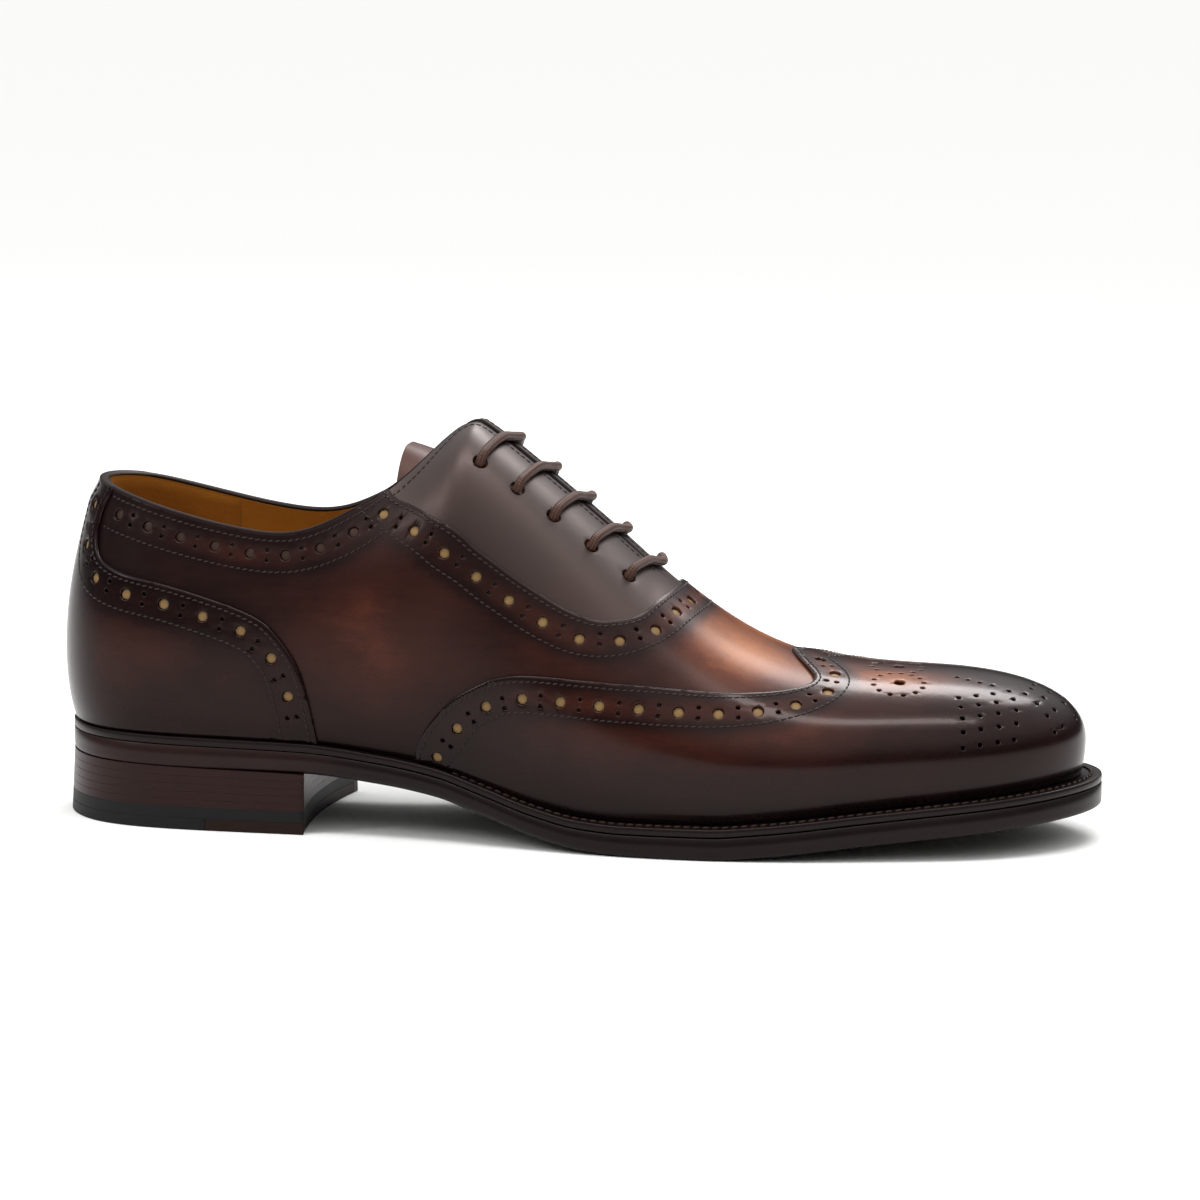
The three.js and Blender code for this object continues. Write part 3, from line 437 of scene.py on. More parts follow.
# Levels of the leathers above the last, the broguing's sizes and the stitches'.
QUARTER_TOP = GAP + LEATHER
OVER_TOP = QUARTER_TOP + GAP + LEATHER
FACING_UNDER = -0.9
BIG_HOLE = 1.6
SMALL_HOLE = 0.65
BIG_PITCH = 11.3
PAIR_HALF = 1.45
EDGE_STITCH = 1.7
STITCH_PITCH = 1.95
CHART = np.array([26.0, 110.0])


def circle_on_last(centre, radius, sides):
    """A circle round a place, as places in the chart."""
    centre = np.asarray(centre, float)
    out = read(last_out, centre)
    first = unit(read(last_along, centre))
    second = np.cross(out, first)
    turn = np.linspace(0, 2 * np.pi, sides, endpoint=False)[:, None]
    moves = radius * (np.cos(turn) * first + np.sin(turn) * second)
    return centre + chart_steps(np.tile(centre, (sides, 1)), moves)


def inside(points, border):
    """Which points of the chart lie within a closed border."""
    a, b = border, np.roll(border, -1, 0)
    answer = np.zeros(len(points), bool)
    for first in range(0, len(points), 3000):
        x, y = points[first : first + 3000, 0, None], points[first : first + 3000, 1, None]
        over = (a[:, 1] > y) != (b[:, 1] > y)
        run = np.where(b[:, 1] == a[:, 1], 1, b[:, 1] - a[:, 1])
        cross = a[:, 0] + (y - a[:, 1]) / run * (b[:, 0] - a[:, 0])
        answer[first : first + 3000] = (over & (x < cross)).sum(1) % 2 == 1
    return answer


def tree_of(points):
    tree = KDTree(len(points))
    for i, point in enumerate(points):
        tree.insert(point, i)
    tree.balance()
    return tree


def distance_to(tree, points):
    return np.array([tree.find(point)[2] for point in points])


def make_object(name, points, faces, smooth=True, normals=None):
    """A mesh object at the origin from points in millimetres."""
    mesh = bpy.data.meshes.new(name)
    mesh.from_pydata((np.asarray(points) * MM).tolist(), [], [list(map(int, face)) for face in faces])
    mesh.update()
    mesh.polygons.foreach_set("use_smooth", np.full(len(mesh.polygons), smooth))
    if normals is not None:
        mesh.normals_split_custom_set_from_vertices(normals.tolist())
    piece = bpy.data.objects.new(name, mesh)
    bpy.context.scene.collection.objects.link(piece)
    return piece


def note(piece, name, values):
    """A value for each point of a piece, for its material to read."""
    layer = piece.data.attributes.new(name, "FLOAT", "POINT")
    layer.data.foreach_set("value", np.asarray(values, dtype=np.float32))


def dress(piece, material, slot, *nodes):
    """The piece gets its material, rides on the shoe and stands for its solids."""
    piece.data.materials.clear()
    piece.data.materials.append(material)
    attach(piece, "root")
    if nodes:
        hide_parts(*nodes)
    return piece


# Soft patches of colour rubbed into the leather: ring, share, reach in rings and shares, strength.
PATCHES = [
    (8.3, 0.77, 0.75, 0.24, 0.7), (9.9, 0.74, 0.8, 0.2, 0.56), (4.75, 0.54, 0.75, 0.26, 0.26),
    (3.6, 0.86, 0.9, 0.1, 0.16), (2.4, 0.36, 0.9, 0.16, 0.2), (7.3, 0.3, 1.3, 0.12, 0.26),
    (6.6, 0.5, 0.8, 0.1, 0.2), (8.9, 0.38, 0.9, 0.14, 0.22), (5.2, 0.3, 0.5, 0.16, 0.16),
    (10.8, 0.75, 0.5, 0.2, 0.1),
]
BASE_TONE = 0.1
# Painted shade: how far up from the feather line it reaches, as a share of the ray, and how much it
# darkens.
FEATHER_SHADE = 0.13
FEATHER_DARK = 0.9
EDGE_DARK = 0.72


def patina_and_painted_shade(chart):
    """How light the leather's colour is at places, 0 nearly black and 1 tan: patina rubbed in patches, with
    painted shade toward the feather line.
    """
    ring = folded(chart[:, 0])
    tone = np.full(len(chart), BASE_TONE)
    for at_ring, at_share, ring_reach, share_reach, gain in PATCHES:
        along = ((ring - at_ring) / ring_reach) ** 2
        own, other = (
            np.exp(-((share - at_share) / share_reach) ** 2) for share in (chart[:, 1], 2 - chart[:, 1])
        )
        tone += gain * np.exp(-along) * np.maximum(own, np.where(ring > CREST_RING, own + other, 0))
    # Painted shade: darker toward the feather line, where the upper curves under into the welt.
    shade = np.clip(1 - chart[:, 1] / FEATHER_SHADE, 0, 1)
    return tone * (1 - FEATHER_DARK * shade)


# How a leather's skin is drawn: the sides of its punched holes, how far and deep their rims are
# rounded, and the trough that a row of stitches pulls into it, in millimetres.
BIG_SIDES, SMALL_SIDES = 16, 8
BIG_ROUND, SMALL_ROUND = 0.35, 0.28
RIM_DROP = 0.2
TROUGH_DEPTH = 0.2
TROUGH_HALF = 0.45


def panel(name, border, free, holes, grooves, top, bottom, spacing=2.0, edge_drop=0.4, dark_reach=4.0):
    """A leather on the last, cut to its border in the chart with its holes punched, its free edges
    rounded and a soft trough under each row of stitches, between two levels."""
    hard, drops, links = [border], [np.where(free, edge_drop, 0)], []
    index = np.arange(len(border))
    links += list(zip(index, np.roll(index, -1)))
    soft, soft_drop, soft_stay = [], [], []

    def add_soft(points, drop, stay):
        """Places let down by a drop and left out where they come nearer to a border than stay."""
        soft.append(points)
        soft_drop.append(np.full(len(points), drop))
        soft_stay.append(np.full(len(points), stay))

    base = len(border)
    for ring, share, radius in holes:
        sides, rounding = (BIG_SIDES, BIG_ROUND) if radius > 1 else (SMALL_SIDES, SMALL_ROUND)
        loop = circle_on_last((ring, share), radius, sides)
        hard.append(loop)
        drops.append(np.full(len(loop), RIM_DROP))
        index = np.arange(base, base + len(loop))
        links += list(zip(index, np.roll(index, -1)))
        base += len(loop)
        add_soft(circle_on_last((ring, share), radius + rounding, sides), 0.02, 0.2)
    closed = np.vstack([border[-1:], border, border[:1]])
    way = np.cross(read(last_out, closed), unit(np.gradient(on_last(closed), axis=0)))[1:-1]
    for distance, drop in ((0.35, edge_drop * 0.25), (0.85, 0.0)):
        moved = border + chart_steps(border, way * distance)
        add_soft(moved[free], drop, 0.22)
    for line in grooves:
        for distance, drop in ((0, TROUGH_DEPTH), (TROUGH_HALF, 0.0), (-TROUGH_HALF, 0.0)):
            add_soft(shifted(line, distance) if distance else line, drop, 0.3)
    low, high = border.min(0), border.max(0)
    rings = np.arange(low[0], high[0], spacing / CHART[0])
    shares = np.arange(low[1], high[1], spacing / CHART[1])
    filling = np.stack(np.meshgrid(rings, shares, indexing="ij"), -1).reshape(-1, 2)
    feature, feature_drop = np.vstack(soft), np.concatenate(soft_drop)
    feature_stay = np.concatenate(soft_stay)
    hard = np.vstack(hard)
    hard_tree = tree_of(on_last(hard))
    keep = inside(feature, border) & (distance_to(hard_tree, on_last(feature)) > feature_stay)
    radii = np.array([hole[2] for hole in holes])
    hole_tree = tree_of(on_last(np.array([hole[:2] for hole in holes])))

    def off_holes(points):
        found = [hole_tree.find(point) for point in points]
        return np.array([f[2] > radii[f[1]] + 0.15 for f in found])

    keep &= off_holes(on_last(feature))
    feature, feature_drop = feature[keep], feature_drop[keep]
    firm = np.vstack([hard, feature])
    firm_tree = tree_of(on_last(firm))
    keep = inside(filling, border) & (distance_to(firm_tree, on_last(filling)) > 0.55 * spacing)
    filling = filling[keep & off_holes(on_last(filling))]
    chart = np.vstack([firm, filling])
    drop = np.concatenate([*drops, feature_drop, np.zeros(len(filling))])
    flat = chart * CHART
    points2, _, faces, _, _, _ = delaunay_2d_cdt(
        [Vector(p) for p in flat], [(int(a), int(b)) for a, b in links], [], 0, 1e-5, True
    )
    made = np.array([tuple(p) for p in points2])
    found = delaunay_ids(points2, flat)
    chart = made / CHART
    drop = np.where(found >= 0, drop[np.maximum(found, 0)], 0)
    faces = np.array(faces)
    centre = chart[faces].mean(1)
    hits = [hole_tree.find(point) for point in on_last(centre)]
    own = np.array([hit[1] for hit in hits])
    in_hole = np.array([hit[2] for hit in hits]) < radii[own] * 1.02
    faces = faces[inside(centre, border) & ~in_hole]
    # Places that both sides of the chart share become one.
    ring = folded(chart[:, 0])
    same = np.arange(len(chart))
    seen = {}
    for i in range(len(chart)):
        if chart[i, 1] > 1 - 1e-6 and ring[i] >= CREST_RING:
            key = ("crest", round(float(ring[i]), 4))
        elif abs(ring[i] - TOE_RING) < 1e-6:
            key = ("toe", round(float(chart[i, 1]), 4))
        elif ring[i] < 1e-6:
            key = ("heel", round(float(chart[i, 1]), 4))
        else:
            continue
        same[i] = seen.setdefault(key, i)
    faces = same[faces]
    faces = faces[(faces != np.roll(faces, 1, axis=1)).all(1)]
    used, faces = np.unique(faces, return_inverse=True)
    faces = faces.reshape(-1, 3)
    chart, drop = chart[used], drop[used]
    count = len(chart)
    edges = {}
    for a, b, c in faces.tolist():
        for pair in ((a, b), (b, c), (c, a)):
            if (pair[1], pair[0]) in edges:
                del edges[(pair[1], pair[0])]
            else:
                edges[pair] = True
    walls = [(a, a + count, b + count, b) for a, b in edges]
    low_levels = heights(chart, bottom) if bottom > 0 else np.full(count, bottom)
    points = np.vstack([on_last(chart, heights(chart, top) - drop), on_last(chart, low_levels)])
    every = faces.tolist() + [(a + count, c + count, b + count) for a, b, c in faces.tolist()] + walls
    # Level leather takes the last's own direction, and edges take that of the faces round them.
    normals = np.zeros((2 * count, 3))
    for corners in (faces, faces[:, ::-1] + count, np.array([w[:3] for w in walls])):
        first, second, third = (points[corners[:, k]] for k in range(3))
        turn = np.cross(second - first, third - first)
        for k in range(3):
            np.add.at(normals, corners[:, k], turn)
    normals = unit(normals)
    rim = np.zeros(count, bool)
    rim[np.array(list(edges)).ravel()] = True
    level = (drop < 1e-6) & ~rim
    normals[:count][level] = read(last_out, chart)[level]
    piece = make_object(name, points, every, normals=normals)
    # Leather is burnished dark along its free edges, its rim and its stitches.
    dark = np.vstack([on_last(line) for line in (border[free], *grooves)])
    near = distance_to(tree_of(dark), on_last(chart)) if len(dark) else np.full(count, 99.0)
    shade = np.clip(1 - near / dark_reach, 0, 1) ** 1.5
    tone = patina_and_painted_shade(chart) * (1 - EDGE_DARK * shade)
    note(piece, "tone", np.concatenate([tone, tone * 0.5]))
    return piece


def delaunay_ids(points2, flat):
    """Which of the given places each made place is, or -1."""
    keys = {(round(p[0], 4), round(p[1], 4)): i for i, p in enumerate(flat.tolist())}
    return np.array([keys.get((round(p.x, 4), round(p.y, 4)), -1) for p in points2])


# One thread stitch, modelled once: a stretched ball.
bpy.ops.mesh.primitive_uv_sphere_add(segments=8, ring_count=6, radius=1)
ball = bpy.context.object
ball_points = np.array([tuple(v.co) for v in ball.data.vertices])[:, [2, 0, 1]]
ball_faces = [tuple(p.vertices) for p in ball.data.polygons]
bpy.data.objects.remove(ball)


def copies(name, places, axes):
    """Many copies of the ball as one mesh: places in millimetres, axes (count, 3, 3) as rows."""
    places, axes = np.asarray(places), np.asarray(axes)
    points = places[:, None] + np.einsum("pk,nkj->npj", ball_points, axes)
    count = len(ball_points)
    faces = [[i + n * count for i in face] for n in range(len(places)) for face in ball_faces]
    return make_object(name, points.reshape(-1, 3), faces)


def stitch_places(line, level, pitch=STITCH_PITCH, long=0.84, wide=0.28, high=0.3, slant=0.2):
    """The stitches of a line: their middles and their three half axes."""
    at = spaced(line, pitch)
    middle = (at[1:] + at[:-1]) / 2
    run = unit(on_last(at[1:]) - on_last(at[:-1]))
    out = read(last_out, middle)
    across = np.cross(out, run)
    turned = unit(run + slant * across)
    axes = np.stack([turned * long, np.cross(out, turned) * wide, out * high], 1)
    return on_last(middle, heights(middle, level)), axes


# Rows of stitches and holes, worked out from the edges on the outer side.
collar_line = np.column_stack([np.linspace(1.2, 4.97, 400), np.ones(400)])
facing_line = np.column_stack([np.linspace(4.99, CREST_RING - 0.04, 400), np.ones(400)])

BAND_WIDTH = 10.3
TOPLINE_BAND = 11.3
TOPLINE_ROW = 6.4
TOPLINE_PITCH = 10.2
wing_row = within(shifted(wing_line, 6.5), 0.03)
counter_row = within(shifted(counter_line, 5.4), 0.03, 0.9)
throat_row = within(shifted(throat_line, 6.3))
topline_row = shifted(collar_line, TOPLINE_ROW)
meet = np.linalg.norm(on_last(throat_row)[:, None] - on_last(topline_row[::4])[None], axis=2)
throat_start, topline_end = np.unravel_index(np.argmin(meet), meet.shape)
throat_row = throat_row[throat_start:]
topline_row = topline_row[: topline_end * 4 + 1][::-1]
from_counter = distance_to(tree_of(on_last(counter_line)), on_last(topline_row))
topline_row = topline_row[: max(2, int(np.argmax(from_counter < 6.0)) or len(topline_row))]


def broguing(row, pitch, to_crest=False):
    """Big holes along a row with a pair of small ones across it between each two. A row that meets its
    mirror image on the crest stops half a step short of it."""
    run = run_of(on_last(row))
    steps = max(1, round(run[-1] / pitch - (0.5 if to_crest else 0)))
    stops = np.arange(steps + 1) * run[-1] / (steps + (0.5 if to_crest else 0))
    big = at_stops(stops, run, row)
    middle = (big[1:] + big[:-1]) / 2
    run = unit(on_last(big[1:]) - on_last(big[:-1]))
    across = np.cross(read(last_out, middle), run)
    small = []
    for side in (-PAIR_HALF, PAIR_HALF):
        small.append(middle + chart_steps(middle, across * side))
    return big, np.vstack(small)


ON_CREST = 0.985


def both_sides(chart):
    """A set of places and its mirror image, without those on the crest itself."""
    off_crest = chart[~((chart[:, 1] > ON_CREST) & (chart[:, 0] > CREST_RING))]
    return np.vstack([off_crest, mirrored(off_crest)])


def holes_of(big, small):
    """Holes as (ring, share, radius) on both sides, the big ones first."""
    sizes = (big, BIG_HOLE), (small, SMALL_HOLE)
    return [(r, s, radius) for places, radius in sizes for r, s in both_sides(places)]


wing_big, wing_small = broguing(wing_row, BIG_PITCH, True)
counter_big, counter_small = broguing(counter_row, BIG_PITCH)
throat_big, throat_small = broguing(throat_row, BIG_PITCH, True)
topline_big, topline_small = broguing(topline_row, TOPLINE_PITCH)
topline_big = topline_big[1:]


def stitched(line, distance, low=0.0, high=1.0):
    """A row of stitches at a distance from an edge."""
    return within(shifted(line, distance), low, high)


wing_rows = [stitched(wing_line, EDGE_STITCH, 0.01), stitched(wing_line, BAND_WIDTH, 0.01)]
counter_rows = [stitched(counter_line, EDGE_STITCH, 0.01), stitched(counter_line, 10.0, 0.01, 0.985)]


def smoothed(line, reach):
    """A line with its kinks evened out over some steps of a millimetre, its ends kept."""
    line = spaced(line, 1.0)
    window = np.hanning(2 * reach + 3)[1:-1]
    ends = np.vstack([2 * line[0] - line[reach:0:-1], line, 2 * line[-1] - line[-2 : -2 - reach : -1]])
    window = window / window.sum()
    return np.column_stack([np.convolve(ends[:, k], window, "valid") for k in range(2)])


throat_rows = [stitched(throat_line, EDGE_STITCH), smoothed(stitched(throat_line, 11.0), 14)]
topline_rows = [shifted(collar_line, 2.3), shifted(collar_line, TOPLINE_BAND)]
facing_rows = [within(shifted(facing_line, 3.0), 0, 0.999)]


def between_edges(row, start_line, end_line, start_clear, end_clear):
    """The stretch of a row between two edges, clear of both."""
    row = spaced(row, 0.5)
    a = distance_to(tree_of(on_last(spaced(start_line, 0.5))), on_last(row))
    b = distance_to(tree_of(on_last(spaced(end_line, 0.5))), on_last(row))
    first = int(np.argmin(a))
    last = int(np.argmin(b))
    row = row[first : last + 1]
    a, b = a[first : last + 1], b[first : last + 1]
    return row[(a > start_clear) & (b > end_clear)]


topline_rows = [
    between_edges(topline_rows[0], counter_line, throat_line, 0.6, 1.2),
    between_edges(topline_rows[1], counter_line, throat_rows[1], 0.6, 0.4),
]

# Materials. Colours are sRGB hex values turned to linear by one function.


def hex_colour(code):
    """An sRGB code as linear red, green and blue, with full cover."""
    channels = [int(code[i : i + 2], 16) / 255 for i in (1, 3, 5)]
    return tuple(c / 12.92 if c <= 0.04045 else ((c + 0.055) / 1.055) ** 2.4 for c in channels) + (1.0,)


def add_node(tree, kind, inputs=None, **settings):
    """One node with its settings and its links or values."""
    node = tree.nodes.new(kind)
    for name, value in settings.items():
        setattr(node, name, value)
    for name, value in (inputs or {}).items():
        socket = node.inputs[name]
        if isinstance(value, bpy.types.NodeSocket):
            tree.links.new(value, socket)
        else:
            socket.default_value = value
    return node


def new_material(name, **values):
    """A material with its tree and shader, and values set on the shader."""
    material = bpy.data.materials.new(name)
    material.use_nodes = True
    shader = material.node_tree.nodes["Principled BSDF"]
    for socket, value in values.items():
        shader.inputs[socket.replace("_", " ")].default_value = value
    return material, material.node_tree, shader


def set_ramp(node, stops):
    """A ramp's colours, from rows of place and code."""
    ramp = node.color_ramp
    while len(ramp.elements) > 1:
        ramp.elements.remove(ramp.elements[-1])
    ramp.elements[0].position = stops[0][0]
    ramp.elements[0].color = hex_colour(stops[0][1])
    for place, code in stops[1:]:
        ramp.elements.new(place).color = hex_colour(code)


PATINA_STOPS = [
    (0.0, "#0b0606"), (0.16, "#1a0c0b"), (0.34, "#301712"), (0.52, "#51291b"),
    (0.72, "#7f4725"), (1.0, "#b87438"),
]


def calf_leather(
    name, stops, roughness, coat, coat_rough, tone=None, pore=0.35, grain=0.12, shine=0.15
):
    """Hand-coloured calf: colour rubbed in patches, fine pores, waxed and brushed to a gloss."""
    material, tree, shader = new_material(
        name, Coat_Weight=coat, Coat_Roughness=coat_rough, IOR=1.5, Specular_IOR_Level=shine,
        Specular_Tint=hex_colour("#ffe2da"),
    )
    place = add_node(tree, "ShaderNodeTexCoord").outputs["Object"]
    cloud = add_node(tree, "ShaderNodeTexNoise", {"Vector": place, "Scale": 1 / (16 * MM), "Detail": 3.0})
    streak_place = add_node(
        tree, "ShaderNodeMapping", {"Vector": place, "Scale": (0.35, 1.0, 1.6), "Rotation": (0, 0.35, 0)}
    )
    streak = add_node(
        tree, "ShaderNodeTexNoise",
        {"Vector": streak_place.outputs[0], "Scale": 1 / (3.5 * MM), "Detail": 5.0, "Roughness": 0.65},
    )
    fleck = add_node(tree, "ShaderNodeTexNoise", {"Vector": place, "Scale": 1 / (0.6 * MM), "Detail": 2.0})
    if tone is None:
        base = add_node(tree, "ShaderNodeAttribute", attribute_name="tone").outputs["Fac"]
    else:
        base = tone
    mixed = base
    for noise, weight in ((cloud, 0.22), (streak, 0.14), (fleck, 0.1)):
        mixed = add_node(
            tree, "ShaderNodeMath", {0: noise.outputs["Fac"], 1: weight, 2: mixed}, operation="MULTIPLY_ADD"
        ).outputs[0]
    # The three noises add 0.23 on average, which is taken off again.
    shift = add_node(tree, "ShaderNodeMath", {0: mixed, 1: 0.23}, operation="SUBTRACT")
    colour = add_node(tree, "ShaderNodeValToRGB", {"Fac": shift.outputs[0]})
    set_ramp(colour, stops)
    tree.links.new(colour.outputs[0], shader.inputs["Base Color"])
    rough = add_node(
        tree, "ShaderNodeMapRange",
        {"Value": streak.outputs["Fac"], "To Min": roughness - 0.06, "To Max": roughness + 0.07},
    )
    tree.links.new(rough.outputs[0], shader.inputs["Roughness"])
    pores = add_node(
        tree, "ShaderNodeTexVoronoi", {"Vector": place, "Scale": 1 / (pore * MM)},
        feature="DISTANCE_TO_EDGE",
    )
    soft = add_node(tree, "ShaderNodeTexNoise", {"Vector": place, "Scale": 1 / (1.4 * MM), "Detail": 4.0})
    small = add_node(
        tree, "ShaderNodeBump",
        {"Height": pores.outputs["Distance"], "Strength": grain, "Distance": 0.05 * MM},
    )
    broad = add_node(
        tree, "ShaderNodeBump",
        {
            "Height": soft.outputs["Fac"], "Strength": grain, "Distance": 0.12 * MM,
            "Normal": small.outputs[0],
        },
    )
    tree.links.new(broad.outputs[0], shader.inputs["Normal"])
    return material


# Rubbed with colour by hand and burnished: dark brown with warm patches and a soft sheen.
quarter_calf = calf_leather("hand_coloured_calf", PATINA_STOPS, 0.3, 0.0, 0.2, shine=0.19)
# Waxed and brushed up at toe and heel: the same colours under a harder, mirror-like gloss.
wing_calf = calf_leather("glossed_wing_calf", PATINA_STOPS, 0.22, 0.1, 0.1, shine=0.15)
counter_calf = calf_leather("glossed_counter_calf", PATINA_STOPS, 0.24, 0.05, 0.12)
# Evenly dyed and waxed: a plain grey-brown with broad, silky lights; duller on tongue and rim.
FACING_STOPS = [(0.0, "#0b0606"), (0.25, "#1d0f0e"), (0.5, "#341b17"), (1.0, "#5a3c31")]
facing_calf = calf_leather("waxed_facing_calf", FACING_STOPS, 0.4, 0.0, 0.2, shine=0.6)
tongue_calf = calf_leather("smooth_tongue_calf", FACING_STOPS, 0.45, 0.0, 0.3, tone=0.62, shine=0.3)
rim_calf = calf_leather("rolled_rim_calf", FACING_STOPS, 0.42, 0.0, 0.25, tone=0.05)
# Undyed linings: matte orange-tan with fine pores, and a rough nap without shine on the suede.
LINING_STOPS = [(0.0, "#4f2d0e"), (0.35, "#8a5419"), (0.6, "#a4671f"), (1.0, "#c28438")]
lining_calf = calf_leather("tan_lining_calf", LINING_STOPS, 0.62, 0.0, 0.5, tone=0.45, grain=0.3)
grip_suede = calf_leather("suede_heel_grip", LINING_STOPS, 0.9, 0.0, 0.5, tone=0.36, pore=0.5, grain=0.6)
# Cut edges, stained and ironed with wax: nearly black with a satin line of light.
EDGE_STOPS = [(0.0, "#070505"), (0.25, "#0f0909"), (0.5, "#1d1110"), (1.0, "#38201a")]
welt_edge = calf_leather("waxed_welt", EDGE_STOPS, 0.36, 0.1, 0.3, tone=0.2, grain=0.25)
sole_edge = calf_leather("waxed_sole_edge", EDGE_STOPS, 0.36, 0.1, 0.2, grain=0.2)
stack_edge = calf_leather(
    "stacked_heel_edge", [(0.0, "#120808"), (0.4, "#241211"), (1.0, "#43261e")], 0.38, 0.1, 0.22, tone=0.3,
    grain=0.2,
)
insert_leather = calf_leather(
    "top_piece_leather", [(0.0, "#100b0a"), (0.5, "#221814"), (1.0, "#3d2e27")], 0.5, 0.0, 0.3, tone=0.35,
    grain=0.3,
)
# Threads drawn through wax: dull dark strands that catch one small light each.
waxed_thread = calf_leather(
    "waxed_linen_thread", [(0.0, "#0c0707"), (0.5, "#1e1414"), (1.0, "#3a2c2b")], 0.38, 0.0, 0.3, tone=0.35,
    grain=0.2, shine=0.32,
)
welt_thread = calf_leather(
    "waxed_welt_thread", [(0.0, "#150e0c"), (0.5, "#2c1f19"), (1.0, "#4c3a2e")], 0.42, 0.0, 0.3, tone=0.4,
    grain=0.2,
)
# Moulded rubber: a dull black with a fine grain from the mould, without any gloss.
heel_rubber, rubber_tree, rubber_shader = new_material(
    "moulded_heel_rubber", Roughness=0.55, IOR=1.52, Specular_IOR_Level=0.2
)
rubber_place = add_node(rubber_tree, "ShaderNodeTexCoord").outputs["Object"]
rubber_noise = add_node(
    rubber_tree, "ShaderNodeTexNoise", {"Vector": rubber_place, "Scale": 1 / (0.4 * MM), "Detail": 4.0}
)
rubber_colour = add_node(rubber_tree, "ShaderNodeValToRGB", {"Fac": rubber_noise.outputs["Fac"]})
set_ramp(rubber_colour, [(0.3, "#090809"), (0.7, "#141314")])
rubber_tree.links.new(rubber_colour.outputs[0], rubber_shader.inputs["Base Color"])
rubber_bump = add_node(
    rubber_tree, "ShaderNodeBump",
    {"Height": rubber_noise.outputs["Fac"], "Strength": 0.3, "Distance": 0.1 * MM},
)
rubber_tree.links.new(rubber_bump.outputs[0], rubber_shader.inputs["Normal"])

# Raw leather at the bottom of the holes: pale tan and matte, dyed dark along the topline.
BACKING_STOPS = [(0.0, "#3d2a17"), (0.4, "#7d6340"), (0.7, "#9f8458"), (1.0, "#c4ad80")]
backing = calf_leather("tan_backing", BACKING_STOPS, 0.5, 0.1, 0.3, tone=0.42, pore=0.5, grain=0.6)
DARK_BACKING_STOPS = [(0.0, "#1c1210"), (0.4, "#3a2a24"), (0.7, "#57453a"), (1.0, "#7d6a55")]
dark_backing = calf_leather(
    "dyed_backing", DARK_BACKING_STOPS, 0.45, 0.1, 0.3, tone=0.35, pore=0.5, grain=0.6
)

# Waxed cotton: a round braid of brown strands with a dull sheen; its colour is painted lighter on each
# strand's back as a highlight and darker between the strands as shade.
lace_cord, lace_tree, lace_shader = new_material(
    "waxed_cotton_lace", Roughness=0.5, IOR=1.5, Specular_IOR_Level=0.3, Sheen_Weight=0.05
)
lace_along = add_node(lace_tree, "ShaderNodeAttribute", attribute_name="along").outputs["Fac"]
lace_round = add_node(lace_tree, "ShaderNodeAttribute", attribute_name="round").outputs["Fac"]
LACE_STRAND = 0.9


def lace_twist(sign):
    """One of the two ways that the braid's strands run round the lace."""
    turn = add_node(
        lace_tree, "ShaderNodeMath", {0: lace_round, 1: sign * 2 * math.pi * 4}, operation="MULTIPLY"
    )
    run = add_node(
        lace_tree, "ShaderNodeMath", {0: lace_along, 1: 2 * math.pi / LACE_STRAND, 2: turn.outputs[0]},
        operation="MULTIPLY_ADD",
    )
    return add_node(lace_tree, "ShaderNodeMath", {0: run.outputs[0]}, operation="SINE").outputs[0]


lace_weave = add_node(
    lace_tree, "ShaderNodeMath", {0: lace_twist(1), 1: lace_twist(-1)}, operation="MULTIPLY"
)
# Painted light and shade: the braid's height sets its colour, light on the strands' backs and dark in the
# hollows between them.
lace_light_and_shade = add_node(
    lace_tree, "ShaderNodeMapRange", {"Value": lace_weave.outputs[0], "From Min": -1.0}
)
lace_shading_ramp = add_node(lace_tree, "ShaderNodeValToRGB", {"Fac": lace_light_and_shade.outputs[0]})
set_ramp(lace_shading_ramp, [(0.0, "#1c0f0b"), (0.5, "#3f241b"), (1.0, "#5f3a2b")])
lace_tree.links.new(lace_shading_ramp.outputs[0], lace_shader.inputs["Base Color"])
lace_bump = add_node(
    lace_tree, "ShaderNodeBump",
    {"Height": lace_weave.outputs[0], "Strength": 0.7, "Distance": 0.12 * MM},
)
lace_tree.links.new(lace_bump.outputs[0], lace_shader.inputs["Normal"])

# Borders of the panels in the chart.


def side_of(rings, share):
    rings = np.asarray(rings)
    return np.column_stack([rings, np.full(len(rings), float(share))])


def along_rings(start, end, share, step=0.05):
    """Places along one share, at even steps."""
    count = max(1, round(abs(end - start) / step))
    return side_of(np.linspace(start, end, count + 1), share)


def clipped(line, step=1.1):
    """An edge between the feather line and the top, its ends exactly on them."""
    fine = spaced(line, 0.1)
    fine = fine[(fine[:, 1] > 0) & (fine[:, 1] < 1)]
    ends = []
    for share, take in ((0.0, np.argmin(fine[:, 1])), (1.0, np.argmax(fine[:, 1]))):
        if abs(fine[take, 1] - share) < 0.02:
            ends.append((take, share))
    for take, share in ends:
        fine[take, 1] = share
    return spaced(fine, step)


def joined(*stretches):
    """A closed border from stretches of (places, is a free edge), without doubled corners."""
    places = np.vstack([stretch for stretch, _ in stretches])
    free = np.concatenate([np.full(len(stretch), is_free) for stretch, is_free in stretches])
    step = np.linalg.norm((places - np.roll(places, 1, 0)) * CHART, axis=1)
    return places[step > 1e-4], free[step > 1e-4]


wing_cut = clipped(wing_line)
wing_far = wing_cut[::-1] * [-1, 1] + [RINGS, 0]
wing_border, wing_free = joined(
    (wing_cut, True),
    (along_rings(wing_cut[-1, 0], RINGS - wing_cut[-1, 0], 1.0), False),
    (wing_far, True),
    (along_rings(RINGS - wing_cut[0, 0], wing_cut[0, 0], 0.0), False),
)
wing_border, wing_free = wing_border[::-1], wing_free[::-1]

